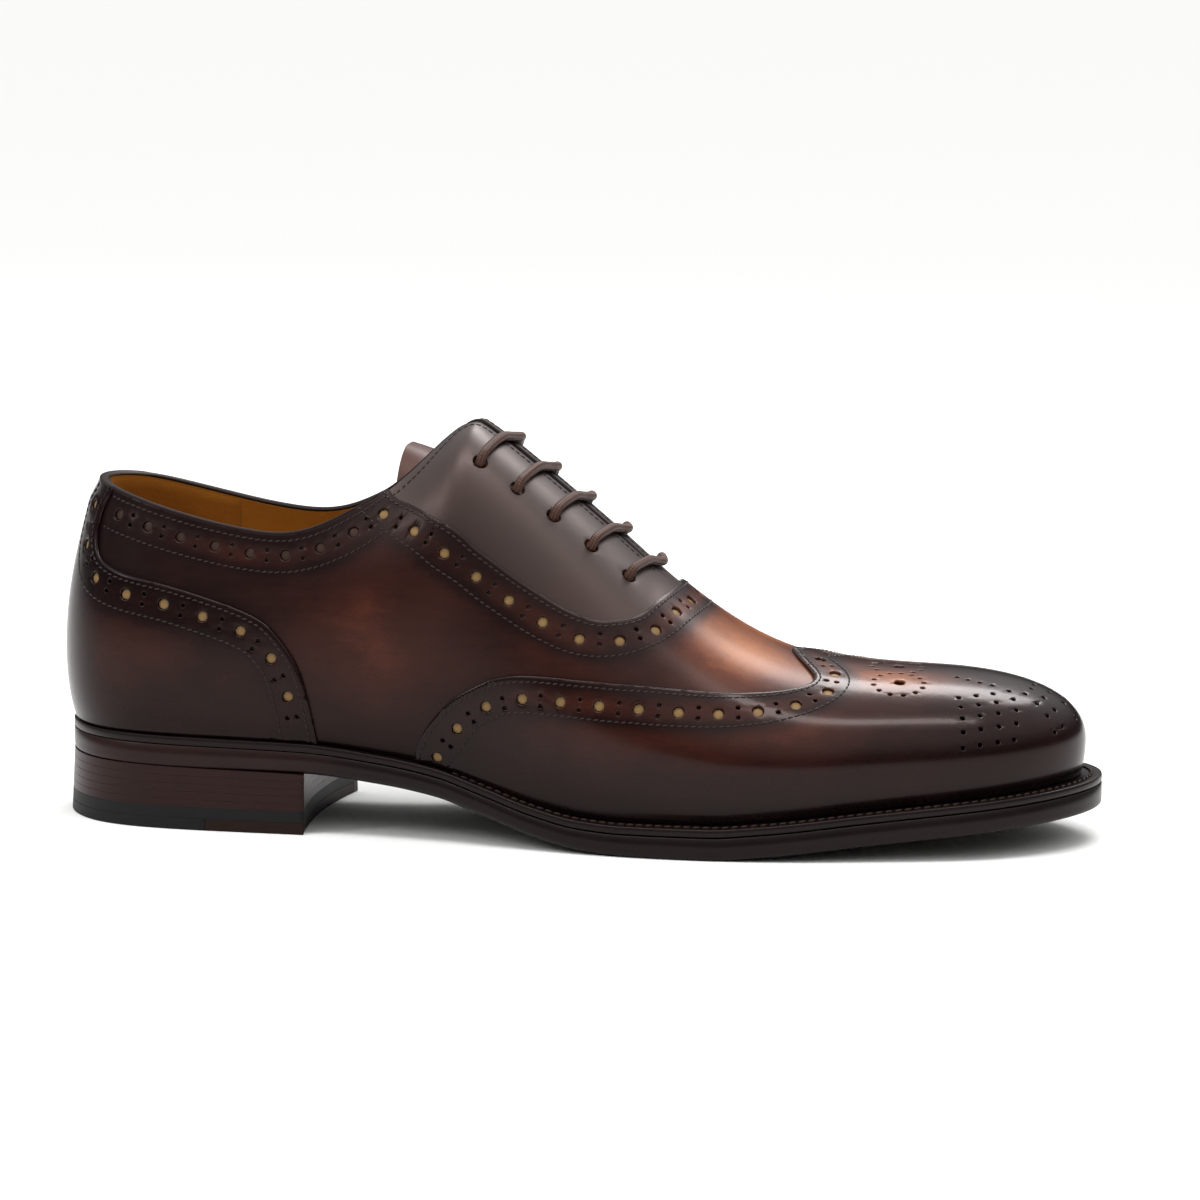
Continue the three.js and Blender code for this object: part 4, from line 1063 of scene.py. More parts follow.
# The toe's medallion: two rings of dots, each round a big hole, side by side on the toe, and a fan of
# dots down toward the tip: the ends of each of its columns in the chart and how many dots it has.
MEDALLION_AT = np.array([10.07, 0.825])
MEDALLION_RING = 7.2
MEDALLION_DOTS = 13
FAN_COLUMNS = [
    ((10.674, 0.547), (10.574, 0.266), 5), ((10.895, 0.559), (10.743, 0.274), 5),
    ((11.117, 0.568), (10.919, 0.28), 5), ((11.355, 0.579), (11.074, 0.284), 5),
    ((11.507, 0.532), (11.493, 0.285), 4), ((11.716, 0.559), (11.6, 0.3), 4),
    ((11.93, 0.575), (11.87, 0.31), 4), ((10.9, 0.78), (11.25, 0.655), 4),
]


def over_crest(chart):
    """Places past the crest, told in the chart of the other side."""
    chart = np.asarray(chart, float)
    past = chart[:, 1] > 1
    turned = np.column_stack([RINGS - chart[:, 0], 2 - chart[:, 1]])
    return np.where(past[:, None], turned, chart)


along_toe = unit(read(last_along, MEDALLION_AT))
across_toe = unit(np.cross(along_toe, read(last_out, MEDALLION_AT)))
medallion_big = over_crest([
    MEDALLION_AT + chart_steps(MEDALLION_AT, across_toe * MEDALLION_RING * side) for side in (1, -1)
])
medallion_dots = []
for centre in medallion_big:
    medallion_dots.append(over_crest(circle_on_last(centre, MEDALLION_RING, MEDALLION_DOTS)))


def toe_dots():
    """Dots of the fan on the outer side, mirrored by the caller."""
    return np.vstack([np.linspace(top, low, count) for top, low, count in FAN_COLUMNS])


dots = toe_dots()
wing_holes = holes_of(wing_big, wing_small)
wing_holes = [(r % RINGS, s, radius) for r, s, radius in wing_holes]
wing_holes += [(r, s, SMALL_HOLE) for r, s in dots] + [(RINGS - r, s, SMALL_HOLE) for r, s in dots]
wing_holes += [(r, s, SMALL_HOLE) for r, s in np.vstack(medallion_dots)]
wing_holes += [(r, s, BIG_HOLE) for r, s in medallion_big]


def clear_holes(holes, border, lines=(), clearance=0.5):
    """The holes that stay inside the border, clear of it and of each other."""
    kept = []
    points = on_last([hole[:2] for hole in holes])
    fine_border = np.vstack([border, border[:1]])
    border_tree = tree_of(on_last(fine_border))
    is_in = inside(np.array([hole[:2] for hole in holes]), border)
    for i, hole in enumerate(holes):
        if not is_in[i] or border_tree.find(points[i])[2] < hole[2] + clearance:
            continue
        if any(np.linalg.norm(points[i] - points[j]) < hole[2] + holes[j][2] + 0.6 for j in kept):
            continue
        kept.append(i)
    return [holes[i] for i in kept]


def each_side(lines, turn=0):
    """Lines and their mirror images, in a chart that starts at 0 (turn 24) or at the toe (turn 0)."""
    return [*lines, *[line * [-1, 1] + [turn, 0] for line in lines]]


wing_holes = clear_holes(wing_holes, wing_border)
wing_leather = panel(
    "wing_cap_leather", wing_border, wing_free, wing_holes, each_side(wing_rows, RINGS),
    OVER_TOP, QUARTER_TOP,
)
dress(wing_leather, wing_calf, "wing_leather", "wing_cap")

counter_cut = clipped(counter_line)[::-1]
counter_border, counter_free = joined(
    (counter_cut, True),
    (along_rings(counter_cut[-1, 0], -counter_cut[-1, 0], 1.0), True),
    (mirrored(counter_cut[::-1]), True),
    (along_rings(-counter_cut[0, 0], counter_cut[0, 0], 0.0), False),
)
counter_holes = holes_of(counter_big, counter_small)
counter_holes = clear_holes(counter_holes, counter_border)
counter_leather = panel(
    "counter_leather", counter_border, counter_free, counter_holes, each_side(counter_rows),
    OVER_TOP, QUARTER_TOP,
)
dress(counter_leather, counter_calf, "counter_leather", "heel_counter")

# The quarters run under the wing and the counter as far as an overlap.
UNDER_WING = 9.6
throat_cut = clipped(throat_line)
quarter_border, quarter_free = joined(
    (along_rings(-UNDER_WING, UNDER_WING, 0.0), False),
    (np.array([(UNDER_WING, s) for s in np.linspace(0.02, 0.98, 60)]), False),
    (along_rings(UNDER_WING, throat_cut[-1, 0], 1.0), False),
    (throat_cut[::-1], True),
    (along_rings(throat_cut[0, 0], -throat_cut[0, 0], 1.0), True),
    (mirrored(throat_cut), True),
    (along_rings(-throat_cut[-1, 0], -UNDER_WING, 1.0), False),
    (np.array([(-UNDER_WING, s) for s in np.linspace(0.98, 0.02, 60)]), False),
)
throat_holes = holes_of(
    np.vstack([throat_big, topline_big]), np.vstack([throat_small, topline_small])
)
throat_holes = clear_holes(throat_holes, quarter_border)
quarter_leather = panel(
    "quarter_leather", quarter_border, quarter_free, throat_holes, each_side(throat_rows + topline_rows),
    QUARTER_TOP, 0.0,
)
dress(quarter_leather, quarter_calf, "vamp_leather", "quarters")

# The upper's own wall: facings outside, lining inside, with the eyelets through both.
eyelet_holes = [(r, s, EYELET_RADIUS) for r, s in EYELETS]
eyelet_holes += [(-(r + INNER_SHIFT), s, EYELET_RADIUS) for r, s in EYELETS]
whole_border, _ = joined(
    (along_rings(-TOE_RING, TOE_RING, 0.0), False),
    (np.array([(TOE_RING, s) for s in np.linspace(0.02, 0.98, 50)]), False),
    (along_rings(TOE_RING, -TOE_RING, 1.0), False),
    (np.array([(-TOE_RING, s) for s in np.linspace(0.98, 0.02, 50)]), False),
)
whole_free = (whole_border[:, 1] > 0.999) & (np.abs(whole_border[:, 0]) < CREST_RING - 0.02)
upper_wall = panel(
    "upper_wall", whole_border, whole_free, eyelet_holes, each_side(facing_rows),
    0.0, FACING_UNDER, edge_drop=0.3,
)
dress(upper_wall, facing_calf, "facing_leather", "upper")
no_edge = np.zeros(len(whole_border), bool)
lining = panel("lining", whole_border, no_edge, eyelet_holes, [], FACING_UNDER, -WALL)
dress(lining, lining_calf, "lining_leather")

# Tan leather shows at the bottom of each big hole.
BACKING_DEPTH = 0.75


def backing_discs(name, holes, top):
    """A disc of leather at the bottom of each big hole."""
    at = np.array([hole[:2] for hole in holes if hole[2] > 1])
    out = read(last_out, at)
    first = unit(read(last_along, at))
    second = np.cross(out, first)
    axes = np.stack([out * 0.22, first * BIG_HOLE * 1.05, second * BIG_HOLE * 1.05], 1)
    return copies(name, on_last(at, heights(at, top) - BACKING_DEPTH - 0.2), axes)


def of_row(holes, row):
    """The holes of a panel that belong to one row."""
    spots = tree_of(on_last(np.vstack([row, mirrored(row)])))
    return [hole for hole in holes if spots.find(on_last(np.array(hole[:2])))[2] < 0.5]


wing_band_holes = [hole for hole in wing_holes if not 9.5 < hole[0] < 14.5]
for part_name, holes, top, material in (
    ("backing_wing", wing_band_holes, OVER_TOP, backing),
    ("backing_counter", counter_holes, OVER_TOP, backing),
    ("backing_throat", of_row(throat_holes, throat_big), QUARTER_TOP, backing),
    ("backing_topline", of_row(throat_holes, topline_big), QUARTER_TOP, dark_backing),
):
    dress(backing_discs(part_name, holes, top), material, "lining_leather")


STITCH_SINK = 0.08


def stitching(name, lines, level, slot):
    """All stitches of one panel as one piece, drawn a little into the leather's level."""
    rows = [stitch_places(line, level - STITCH_SINK) for line in lines if len(line) > 2]
    places, axes = (np.vstack(parts) for parts in zip(*rows))
    dress(copies(name, places, axes), waxed_thread, slot)


stitching("stitching_wing", each_side(wing_rows), OVER_TOP, "wing_leather")
stitching("stitching_counter", each_side(counter_rows), OVER_TOP, "counter_leather")
stitching("stitching_quarters", each_side(throat_rows + topline_rows), QUARTER_TOP, "vamp_leather")
stitching("stitching_facings", each_side(facing_rows), 0.0, "facing_leather")


def loft(name, loops, closed_round=False, flat_ends=False):
    """A solid skin through loops of equal count; its ends close as ladders of faces, or as one face."""
    loops = [np.asarray(loop) for loop in loops]
    count = len(loops[0])
    points = np.vstack(loops)
    faces = []
    steps = len(loops) if closed_round else len(loops) - 1
    for k in range(steps):
        a0, b0 = k * count, ((k + 1) % len(loops)) * count
        for i in range(count):
            j = (i + 1) % count
            faces.append((a0 + i, a0 + j, b0 + j, b0 + i))
    if flat_ends:
        faces.append(list(range(count))[::-1])
        faces.append([(len(loops) - 1) * count + i for i in range(count)])
    elif not closed_round:
        for base, turned in ((0, False), ((len(loops) - 1) * count, True)):
            for i in range(count // 2):
                quad = [base + k for k in (i, (count - i) % count, (count - i - 1) % count, i + 1)]
                quad = list(dict.fromkeys(quad))
                if len(quad) > 2:
                    faces.append(quad[::-1] if turned else quad)
    return make_object(name, points, faces)


# The sole, set out from the feather line by a reach of its own at each ring.
REACH_ROWS = [
    (0.36, 0.36), (0.385, 0.385), (0.41, 0.41), (0.45, 0.44), (0.48, 0.42), (0.52, 0.34), (0.68, 0.38),
    (0.9, 0.72), (1, 1), (1, 1), (1, 1), (1, 1), (1, 1),
]
WAIST_ROWS = [0, 0, 0, 0, 0.4, 1, 1, 0.5, 0, 0, 0, 0, 0]
sole_reach = curve_around(
    range(RINGS), [REACH_ROWS[i][0] if i <= TOE_RING else REACH_ROWS[RINGS - i][1] for i in range(RINGS)]
)
waist = curve_around(range(RINGS), [WAIST_ROWS[min(i, RINGS - i)] for i in range(RINGS)])
SOLE_STEPS = 480
sole_rings = np.linspace(0, RINGS, SOLE_STEPS, endpoint=False)


def feather_point(ring, out):
    """Points in plan at a distance out from the feather line."""
    def at(r):
        return np.column_stack([LAST_BACK + feather_x(r) * LAST_LENGTH, feather_y(r) * BALL_WIDTH])

    run = unit(at(ring + 0.04) - at(ring - 0.04))
    return at(ring) + np.column_stack([run[:, 1], -run[:, 0]]) * np.reshape(out, (-1, 1))


def reach_of(ring):
    """How far the sole stands out from the feather line."""
    return sole_reach(ring) * WELT_REACH


def sole_loop(out, height, lift=0.0):
    """A loop round the sole, at a distance out and at a height that follows it."""
    at = feather_point(sole_rings, out)
    return np.column_stack([at, height(at[:, 0]) + lift])


BROWN_END = 36.0
BROWN_FADE = 22.0


def heel_tint(piece, heel_tone, fore_tone):
    """The sole's edge is as brown as the stack round the heel and blackened forward of it."""
    x = np.array([vertex.co.x for vertex in piece.data.vertices]) / MM
    part = np.clip((x - BROWN_END) / BROWN_FADE, 0, 1)
    note(piece, "tone", heel_tone * (1 - part) + fore_tone * part)
    return piece


WELT_INNER = -(WALL + 2 * GAP)
sole_edge_out = reach_of(sole_rings)
outward = np.ones(SOLE_STEPS)
# Round the heel the edges are pressed flush, with a hair of rounding; at the forefoot they have more.
from_heel = np.minimum(sole_rings, RINGS - sole_rings)
soft_edge = 0.1 + 0.2 * np.clip((from_heel - 4.2) / 1.2, 0, 1)
STITCH_IN = 3.1
groove_out = np.maximum(sole_edge_out - STITCH_IN, 0.5)
welt_loops = [
    sole_loop(outward * WELT_INNER, sole_top, -WELT_THICKNESS),
    sole_loop(sole_edge_out - soft_edge, sole_top, -WELT_THICKNESS),
    sole_loop(sole_edge_out - soft_edge * 0.2, sole_top, -WELT_THICKNESS + soft_edge * 0.8),
    sole_loop(sole_edge_out, sole_top, -WELT_THICKNESS / 2),
    sole_loop(sole_edge_out - soft_edge * 0.15, sole_top, -soft_edge),
    sole_loop(sole_edge_out - soft_edge * 0.8, sole_top, -soft_edge * 0.15),
    sole_loop(sole_edge_out - soft_edge - 0.6, sole_top),
    sole_loop(groove_out + 0.75, sole_top),
    sole_loop(groove_out, sole_top, -0.3),
    sole_loop(np.minimum(groove_out - 0.75, groove_out * 0.5), sole_top),
    sole_loop(outward * WELT_INNER, sole_top),
]
dress(loft("welt_strip", welt_loops, closed_round=True), welt_edge, "welt_leather", "welt")

EDGE_ROUND = 0.5
WAIST_ROUND = 2.2


def outsole_top(x):
    return underside(x) + OUTSOLE_THICKNESS


waist_part = waist(sole_rings)
bottom_out = sole_edge_out - EDGE_ROUND - WAIST_ROUND * waist_part
sole_loops = [
    sole_loop(bottom_out - 6.0, underside),
    sole_loop(bottom_out - 4.6, underside),
    sole_loop(bottom_out - 4.2, underside, 0.3),
    sole_loop(bottom_out - 3.8, underside),
    sole_loop(bottom_out - 0.4, underside),
    sole_loop(bottom_out, underside, 0.12),
    sole_loop(
        sole_edge_out - 0.12 - WAIST_ROUND * 0.55 * waist_part, underside, 0.08 * OUTSOLE_THICKNESS
    ),
    sole_loop(sole_edge_out - WAIST_ROUND * 0.3 * waist_part, underside, 0.16 * OUTSOLE_THICKNESS),
    sole_loop(sole_edge_out - WAIST_ROUND * 0.1 * waist_part, underside, 0.3 * OUTSOLE_THICKNESS),
    sole_loop(sole_edge_out, underside, 0.5 * OUTSOLE_THICKNESS),
    sole_loop(sole_edge_out, underside, OUTSOLE_THICKNESS - soft_edge),
    sole_loop(sole_edge_out - soft_edge, underside, OUTSOLE_THICKNESS),
    sole_loop(sole_edge_out - 8.0, underside, OUTSOLE_THICKNESS),
]
dress(heel_tint(loft("outsole_leather", sole_loops), 0.5, 0.12), sole_edge, "outsole_leather", "outsole")

SOCK_ABOVE = 1.3
insole_out = WELT_INNER - 2 * GAP
sock_loops = [
    sole_loop(outward * insole_out, outsole_top, GAP),
    sole_loop(outward * insole_out, sole_top, SOCK_ABOVE - 0.3),
    sole_loop(outward * (insole_out - 0.3), sole_top, SOCK_ABOVE),
    sole_loop(outward * (insole_out - 6), sole_top, SOCK_ABOVE - 0.4),
]
dress(loft("insole_sock", sock_loops), lining_calf, "lining_leather", "insole")

# Welt stitches: from the waist round the toe to the other waist.
WELT_STITCH_PITCH = 2.7
WELT_STITCH_START = 5.75
welt_rings = np.linspace(WELT_STITCH_START, RINGS - WELT_STITCH_START, 1200)
welt_at = feather_point(welt_rings, np.maximum(reach_of(welt_rings) - STITCH_IN, 0.5))
welt_path = np.column_stack([welt_at, sole_top(welt_at[:, 0])])
run = run_of(welt_path)
stops = np.arange(0, run[-1], WELT_STITCH_PITCH)
welt_places = at_stops(stops, run, welt_path)
welt_run = unit(np.gradient(welt_places, axis=0))
welt_side = unit(np.cross([0, 0, 1], welt_run))
welt_turned = unit(welt_run + 0.25 * welt_side)
welt_axes = np.stack([
    welt_turned * 1.15, np.cross([0, 0, 1], welt_turned) * 0.48, np.tile([0, 0, 0.42], (len(stops), 1)),
], 1)
dress(copies("stitching_welt", welt_places - [0, 0, 0.02], welt_axes), welt_thread, "welt_leather")

# The heel: thin leather lifts over a rubber layer, and a tread of rubber behind and leather in front.
BREAST_AT = HEEL_LENGTH / 2
BREAST_HOLLOW = 3.0
HEEL_FLARE = 1.0
TOP_PIECE_JOINT = 0.12 * HEEL_LENGTH
HEEL_SIDE_STEPS = 60
HALVINGS = 40
BREAST_STEPS = 23


def ring_at(x, out, low=0.0, high=6.0):
    """The ring between two others of one side at which the outline comes to x, by halving."""
    rises = high < TOE_RING
    for _ in range(HALVINGS):
        middle = (low + high) / 2
        if (feather_point(np.array([middle]), out(np.array([middle])))[0, 0] < x) == rises:
            low = middle
        else:
            high = middle
    return low


def heel_loop(height, front, hollow, back=None, inset=0.0):
    """One outline of the heel: out along the outer side, over the hollow breast and back."""
    def level(x):
        return height(x) if callable(height) else np.full(np.shape(x), float(height))

    lift = float(np.ravel(level(np.array([0.0])))[0])

    def out(ring):
        return reach_of(ring) + HEEL_FLARE * (1 - lift / HEEL_STACK) - inset

    front = front - inset
    outer_end = ring_at(front, out)
    inner_end = ring_at(front, out, RINGS - 6.0, float(RINGS))
    start = 0.0 if back is None else ring_at(back + inset, out)

    def side(first, last):
        rings = np.linspace(first, last, HEEL_SIDE_STEPS + 1)
        return feather_point(rings, out(rings))

    outer, inner = side(start, outer_end), side(RINGS - start, inner_end)
    s = (np.arange(BREAST_STEPS)[:, None] + 1) / (BREAST_STEPS + 1)
    across = outer[-1] * (1 - s) + inner[-1] * s
    across[:, :1] -= 4 * hollow * s * (1 - s)
    if back is None:
        plan = np.vstack([outer, across, inner[1:][::-1]])
    else:
        plan = np.vstack([(outer[:1] + inner[:1]) / 2, outer, across, inner[::-1]])
    return np.column_stack([plan, level(plan[:, 0])])


FLAT_START = 0.12


def heel_layer(name, low, high, front=BREAST_AT, hollow=BREAST_HOLLOW, back=None, edge=0.045):
    """One layer of the heel between two heights, its two edges eased."""
    def raised(height, lift):
        return (lambda x: height(x) + lift) if callable(height) else height + lift

    levels = [(low, 0, edge), (low, edge, 0), (low, edge + FLAT_START, 0)]
    levels += [(high, -edge - FLAT_START, 0), (high, -edge, 0), (high, 0, edge)]
    loops = [
        heel_loop(raised(height, lift), front, hollow, back, inset) for height, lift, inset in levels
    ]
    return loft(name, loops, flat_ends=True)


rubber_top = TOP_PIECE_THICKNESS
rubber_middle = TOP_PIECE_THICKNESS / 2
stack_low, stack_high = rubber_top, HEEL_STACK
LIFTS = 5


def lift_level(part):
    """A height in the stack that follows the sole's slope the more, the higher it lies."""
    return lambda x: rubber_top + (underside(x) - rubber_top) * part


for i in range(LIFTS):
    node = "heel_lift_lower" if i < LIFTS / 2 else "heel_lift_upper"
    low = lift_level(i / LIFTS)
    piece = heel_layer(f"heel_lift_{i + 1}", low, lift_level((i + 1) / LIFTS))
    dress(piece, stack_edge, "heel_stack", node)
dress(
    heel_layer("rubber_band", rubber_middle + 0.02, rubber_top), heel_rubber,
    "heel_rubber", "top_piece_rubber",
)
dress(
    heel_layer("rubber_tread", 0, rubber_middle, TOP_PIECE_JOINT - 0.1, 0, edge=0.1), heel_rubber,
    "heel_rubber", "top_piece_tip",
)
dress(
    heel_layer("tread_leather", 0, rubber_middle, back=TOP_PIECE_JOINT, edge=0.1), insert_leather,
    "heel_leather", "top_piece_leather",
)

# The tongue: ring, sag, width, back, rise, droop of each row, as the solid has them.
TONGUE_ROWS = [
    (7.85, 0, 0.62, 0, 0, 0), (7.5, 0, 0.72, 0, 0, 0), (7.1, 0, 0.8, 0, 0, 0), (6.7, 1.5, 0.85, 0, 0, 0),
    (6.3, 5, 0.88, 0, 0, 0), (6.0, 9, 0.88, 0, 0, 0.5), (5.75, 12.5, 0.85, 0, 0, 1.5),
    (5.75, 12.5, 0.8, 6, 2.8, 2.5), (5.75, 12.5, 0.75, 12, 5.2, 4), (5.75, 12.5, 0.7, 17, 7, 5),
    (5.75, 12.5, 0.62, 20.5, 8, 6),
]
TONGUE_THICKNESS = 1.6
TONGUE_DEPTH = WALL + 2.2
TONGUE_HALF = 25.0
TONGUE_ACROSS = 32
TONGUE_ALONG = 80


def tongue_grid(rows, w):
    """The tongue's upper face, row by row, at places w across it from -1 to 1."""
    grid = []
    for ring, sag, width, back, rise, droop in rows:
        side = np.where(w < 0, ring, RINGS - ring)
        whole = np.interp(np.mod(side, RINGS), np.arange(len(ray_length)) / PER_RING, ray_length)
        share = np.minimum(1 - np.abs(w) * width * TONGUE_HALF / whole, 0.999)
        chart = np.column_stack([side, share])
        point = on_last(chart)
        out = read(last_out, chart)
        middle = w == 0
        point[middle, 1] = crest_y(ring) * BALL_WIDTH
        out[middle, 1] = 0
        out = unit(out)
        point = point - out * TONGUE_DEPTH
        point += np.column_stack([np.full(len(w), -back), np.zeros(len(w)), rise - sag - droop * w * w])
        grid.append(point)
    return np.array(grid)


tongue_places = np.arange(len(TONGUE_ROWS))
fine_places = np.linspace(0, len(TONGUE_ROWS) - 1, TONGUE_ALONG + 1)
fine_rows = np.column_stack([
    level_curve(tongue_places, column)(fine_places) for column in zip(*TONGUE_ROWS)
])
tongue_points = tongue_grid(fine_rows, np.linspace(-1, 1, TONGUE_ACROSS + 1))
wide = TONGUE_ACROSS + 1
tongue_faces = [
    (i * wide + k, (i + 1) * wide + k, (i + 1) * wide + k + 1, i * wide + k + 1)
    for i in range(TONGUE_ALONG) for k in range(TONGUE_ACROSS)
]
tongue = make_object("tongue_leather", tongue_points.reshape(-1, 3), tongue_faces)


def finish_with(piece, *modifiers):
    """Modifiers with their settings, put on the piece and applied in turn."""
    bpy.context.view_layer.objects.active = piece
    for kind, settings in modifiers:
        modifier = piece.modifiers.new(kind.lower(), kind)
        for name, value in settings.items():
            setattr(modifier, name, value)
        bpy.ops.object.modifier_apply(modifier=modifier.name)


finish_with(
    tongue,
    ("SOLIDIFY", {"thickness": TONGUE_THICKNESS * MM, "offset": -1.0}),
    ("BEVEL", {
        "width": 0.45 * MM, "segments": 2, "limit_method": "ANGLE", "angle_limit": math.radians(50),
    }),
)
dress(tongue, tongue_calf, "tongue_leather", "tongue")

# A row of stitches near the tongue's free end and down its sides.
tongue_out = unit(np.cross(
    np.gradient(tongue_points, axis=1), np.gradient(tongue_points, axis=0)
))
end_row = tongue_points[-6, 3:-3]
sides = [tongue_points[30:-5, 3], tongue_points[30:-5, -4]]
tongue_stitch_places, tongue_stitch_axes = [], []
for line, out_line in (
    (end_row, tongue_out[-6, 3:-3]), (sides[0], tongue_out[30:-5, 3]), (sides[1], tongue_out[30:-5, -4]),
):
    run = run_of(line)
    stops = np.arange(STITCH_PITCH / 2, run[-1], STITCH_PITCH)
    spot = at_stops(stops, run, line)
    out_at = unit(at_stops(stops, run, out_line))
    out_at *= np.where(out_at[:, 2:] < 0, -1, 1)
    heading = unit(np.gradient(spot, axis=0))
    tongue_stitch_places.append(spot + out_at * 0.1)
    tongue_stitch_axes.append(
        np.stack([heading * 0.95, np.cross(out_at, heading) * 0.3, out_at * 0.3], 1)
    )
tongue_stitches = copies(
    "stitching_tongue", np.vstack(tongue_stitch_places), np.vstack(tongue_stitch_axes)
)
dress(tongue_stitches, waxed_thread, "tongue_leather")


def sweep(name, path, across, up, count, note_along=True):
    """A skin round a path: at each place an oval with two given half axes, in millimetres."""
    turn = np.linspace(0, 2 * np.pi, count, endpoint=False)
    wide, high = np.cos(turn)[None, :, None], np.sin(turn)[None, :, None]
    points = path[:, None] + wide * across[:, None] + high * up[:, None]
    total = len(path)
    faces = []
    for i in range(total - 1):
        for k in range(count):
            j = (k + 1) % count
            faces.append((i * count + k, i * count + j, (i + 1) * count + j, (i + 1) * count + k))
    faces.append(tuple(range(count))[::-1])
    faces.append(tuple((total - 1) * count + k for k in range(count)))
    piece = make_object(name, points.reshape(-1, 3), faces)
    if note_along:
        run = run_of(path)
        note(piece, "along", np.repeat(run, count))
        note(piece, "round", np.tile(turn / (2 * np.pi), total))
    return piece


# The rolled rim: round the collar over quarters and lining, then down both sides of the slit.
rim_rings = np.linspace(-(CREST_RING - 0.03), CREST_RING - 0.03, 700)
rim_chart = side_of(rim_rings, 1.0)
over_facing = np.clip((np.abs(rim_rings) - (throat_cut[0, 0] - 0.12)) / 0.24, 0, 1)
on_counter = np.clip((counter_cut[-1, 0] + 0.08 - np.abs(rim_rings)) / 0.16, 0, 1)
ease = over_facing * over_facing * (3 - 2 * over_facing)
counter_ease = on_counter * on_counter * (3 - 2 * on_counter)
thinned = 1 - SKIVE_DEPTH
rim_outer = (QUARTER_TOP * (1 - ease) + (OVER_TOP - QUARTER_TOP) * counter_ease) * thinned + 0.05
rim_inner = -WALL - 0.1
rim_out, rim_up = read(last_out, rim_chart), unit(read(last_up, rim_chart))
rim_up = unit(rim_up - rim_out * (rim_up * rim_out).sum(1, keepdims=True))
rim_path = on_last(rim_chart, (rim_outer + rim_inner) / 2) - rim_up * 0.25
rim_half = (rim_outer - rim_inner) / 2
taper = np.clip((CREST_RING - 0.03 - np.abs(rim_rings)) / 0.1, 0.1, 1)
rim = sweep(
    "rolled_rim", rim_path, rim_out * (rim_half * taper)[:, None], rim_up * (0.75 * taper)[:, None], 14,
    note_along=False,
)
dress(rim, rim_calf, "facing_leather")

# The heel grip: suede over the lining round the heel, with its seam up the back.
GRIP_RING = 3.1
grip_rings = np.linspace(-GRIP_RING, GRIP_RING, 90)
grip_shares = np.linspace(0.1, 0.985, 40)
grip_chart = np.stack(np.meshgrid(grip_rings, grip_shares, indexing="ij"), -1)
grip_outer = on_last(grip_chart, np.full(grip_chart.shape[:2], -WALL))
near_rim = np.minimum(GRIP_RING - np.abs(grip_chart[..., 0]), (0.99 - grip_chart[..., 1]) * 4)
seam = np.exp(-((grip_chart[..., 0] / 0.035) ** 2)) * 0.35
grip_level = -WALL - 0.55 * np.clip(near_rim / 0.05, 0.15, 1) - seam
grip_inner = on_last(grip_chart, grip_level)
rows_count, cols_count = grip_chart.shape[:2]
grip_faces = [
    (i * cols_count + j, i * cols_count + j + 1, (i + 1) * cols_count + j + 1, (i + 1) * cols_count + j)
    for i in range(rows_count - 1) for j in range(cols_count - 1)
]
grip = make_object("heel_grip", grip_inner.reshape(-1, 3), grip_faces)
dress(grip, grip_suede, "lining_leather")

# The lace: bars straight across, joined by runs hidden under the facings; its ends lie hidden under the top
# pair and the bottom pair.
LACE_CLEAR = 0.45
LACE_BEND = 1.3
LACE_LEAN = 0.12
HIDDEN_DEPTH = WALL + 1.25


def bar_points(i):
    """The path of one bar: up through its outer eyelet, over the slit, down through the inner."""
    ring, share = EYELETS[i]
    over = LACE_RADIUS + LACE_CLEAR

    def leg(place, lean):
        chart = np.array([(place, share)])
        out, up = read(last_out, chart), unit(read(last_up, chart))
        spots = [
            on_last(chart, np.array([-HIDDEN_DEPTH]))[0],
            on_last(chart, np.array([0.2]))[0],
            (on_last(chart) + out * over + up * LACE_BEND)[0],
        ]
        for part in (0.4, 0.75):
            rest = np.array([(place + lean * part, share + (1 - share) * part)])
            spots.append(on_last(rest, np.array([over]))[0])
        return spots

    inner = RINGS - ring - INNER_SHIFT
    crossing = on_last(np.array([(ring + LACE_LEAN, 1.0), (inner - LACE_LEAN, 1.0)]))
    top = crossing.mean(axis=0) + [0, 0, over]
    return [*leg(ring, LACE_LEAN), top, *leg(inner, -LACE_LEAN)[::-1]]


def hidden_run(i, side):
    """Under the facings from one pair of eyelets to the next, on one side."""
    (ring_a, share_a), (ring_b, share_b) = EYELETS[i], EYELETS[i + 1]
    spots = []
    for part in (0.3, 0.7):
        ring = ring_a + (ring_b - ring_a) * part
        place = ring if side == "outer" else RINGS - ring - INNER_SHIFT
        share = share_a + (share_b - share_a) * part
        spots.append(on_last(np.array([(place, share)]), np.array([-HIDDEN_DEPTH]))[0])
    return spots


route, is_hidden = [], []
for i in range(len(EYELETS)):
    bar = bar_points(i)
    if i % 2:
        bar = bar[::-1]
    route += bar
    if i < len(EYELETS) - 1:
        route += hidden_run(i, "outer" if i % 2 else "inner")
route = np.array(route)


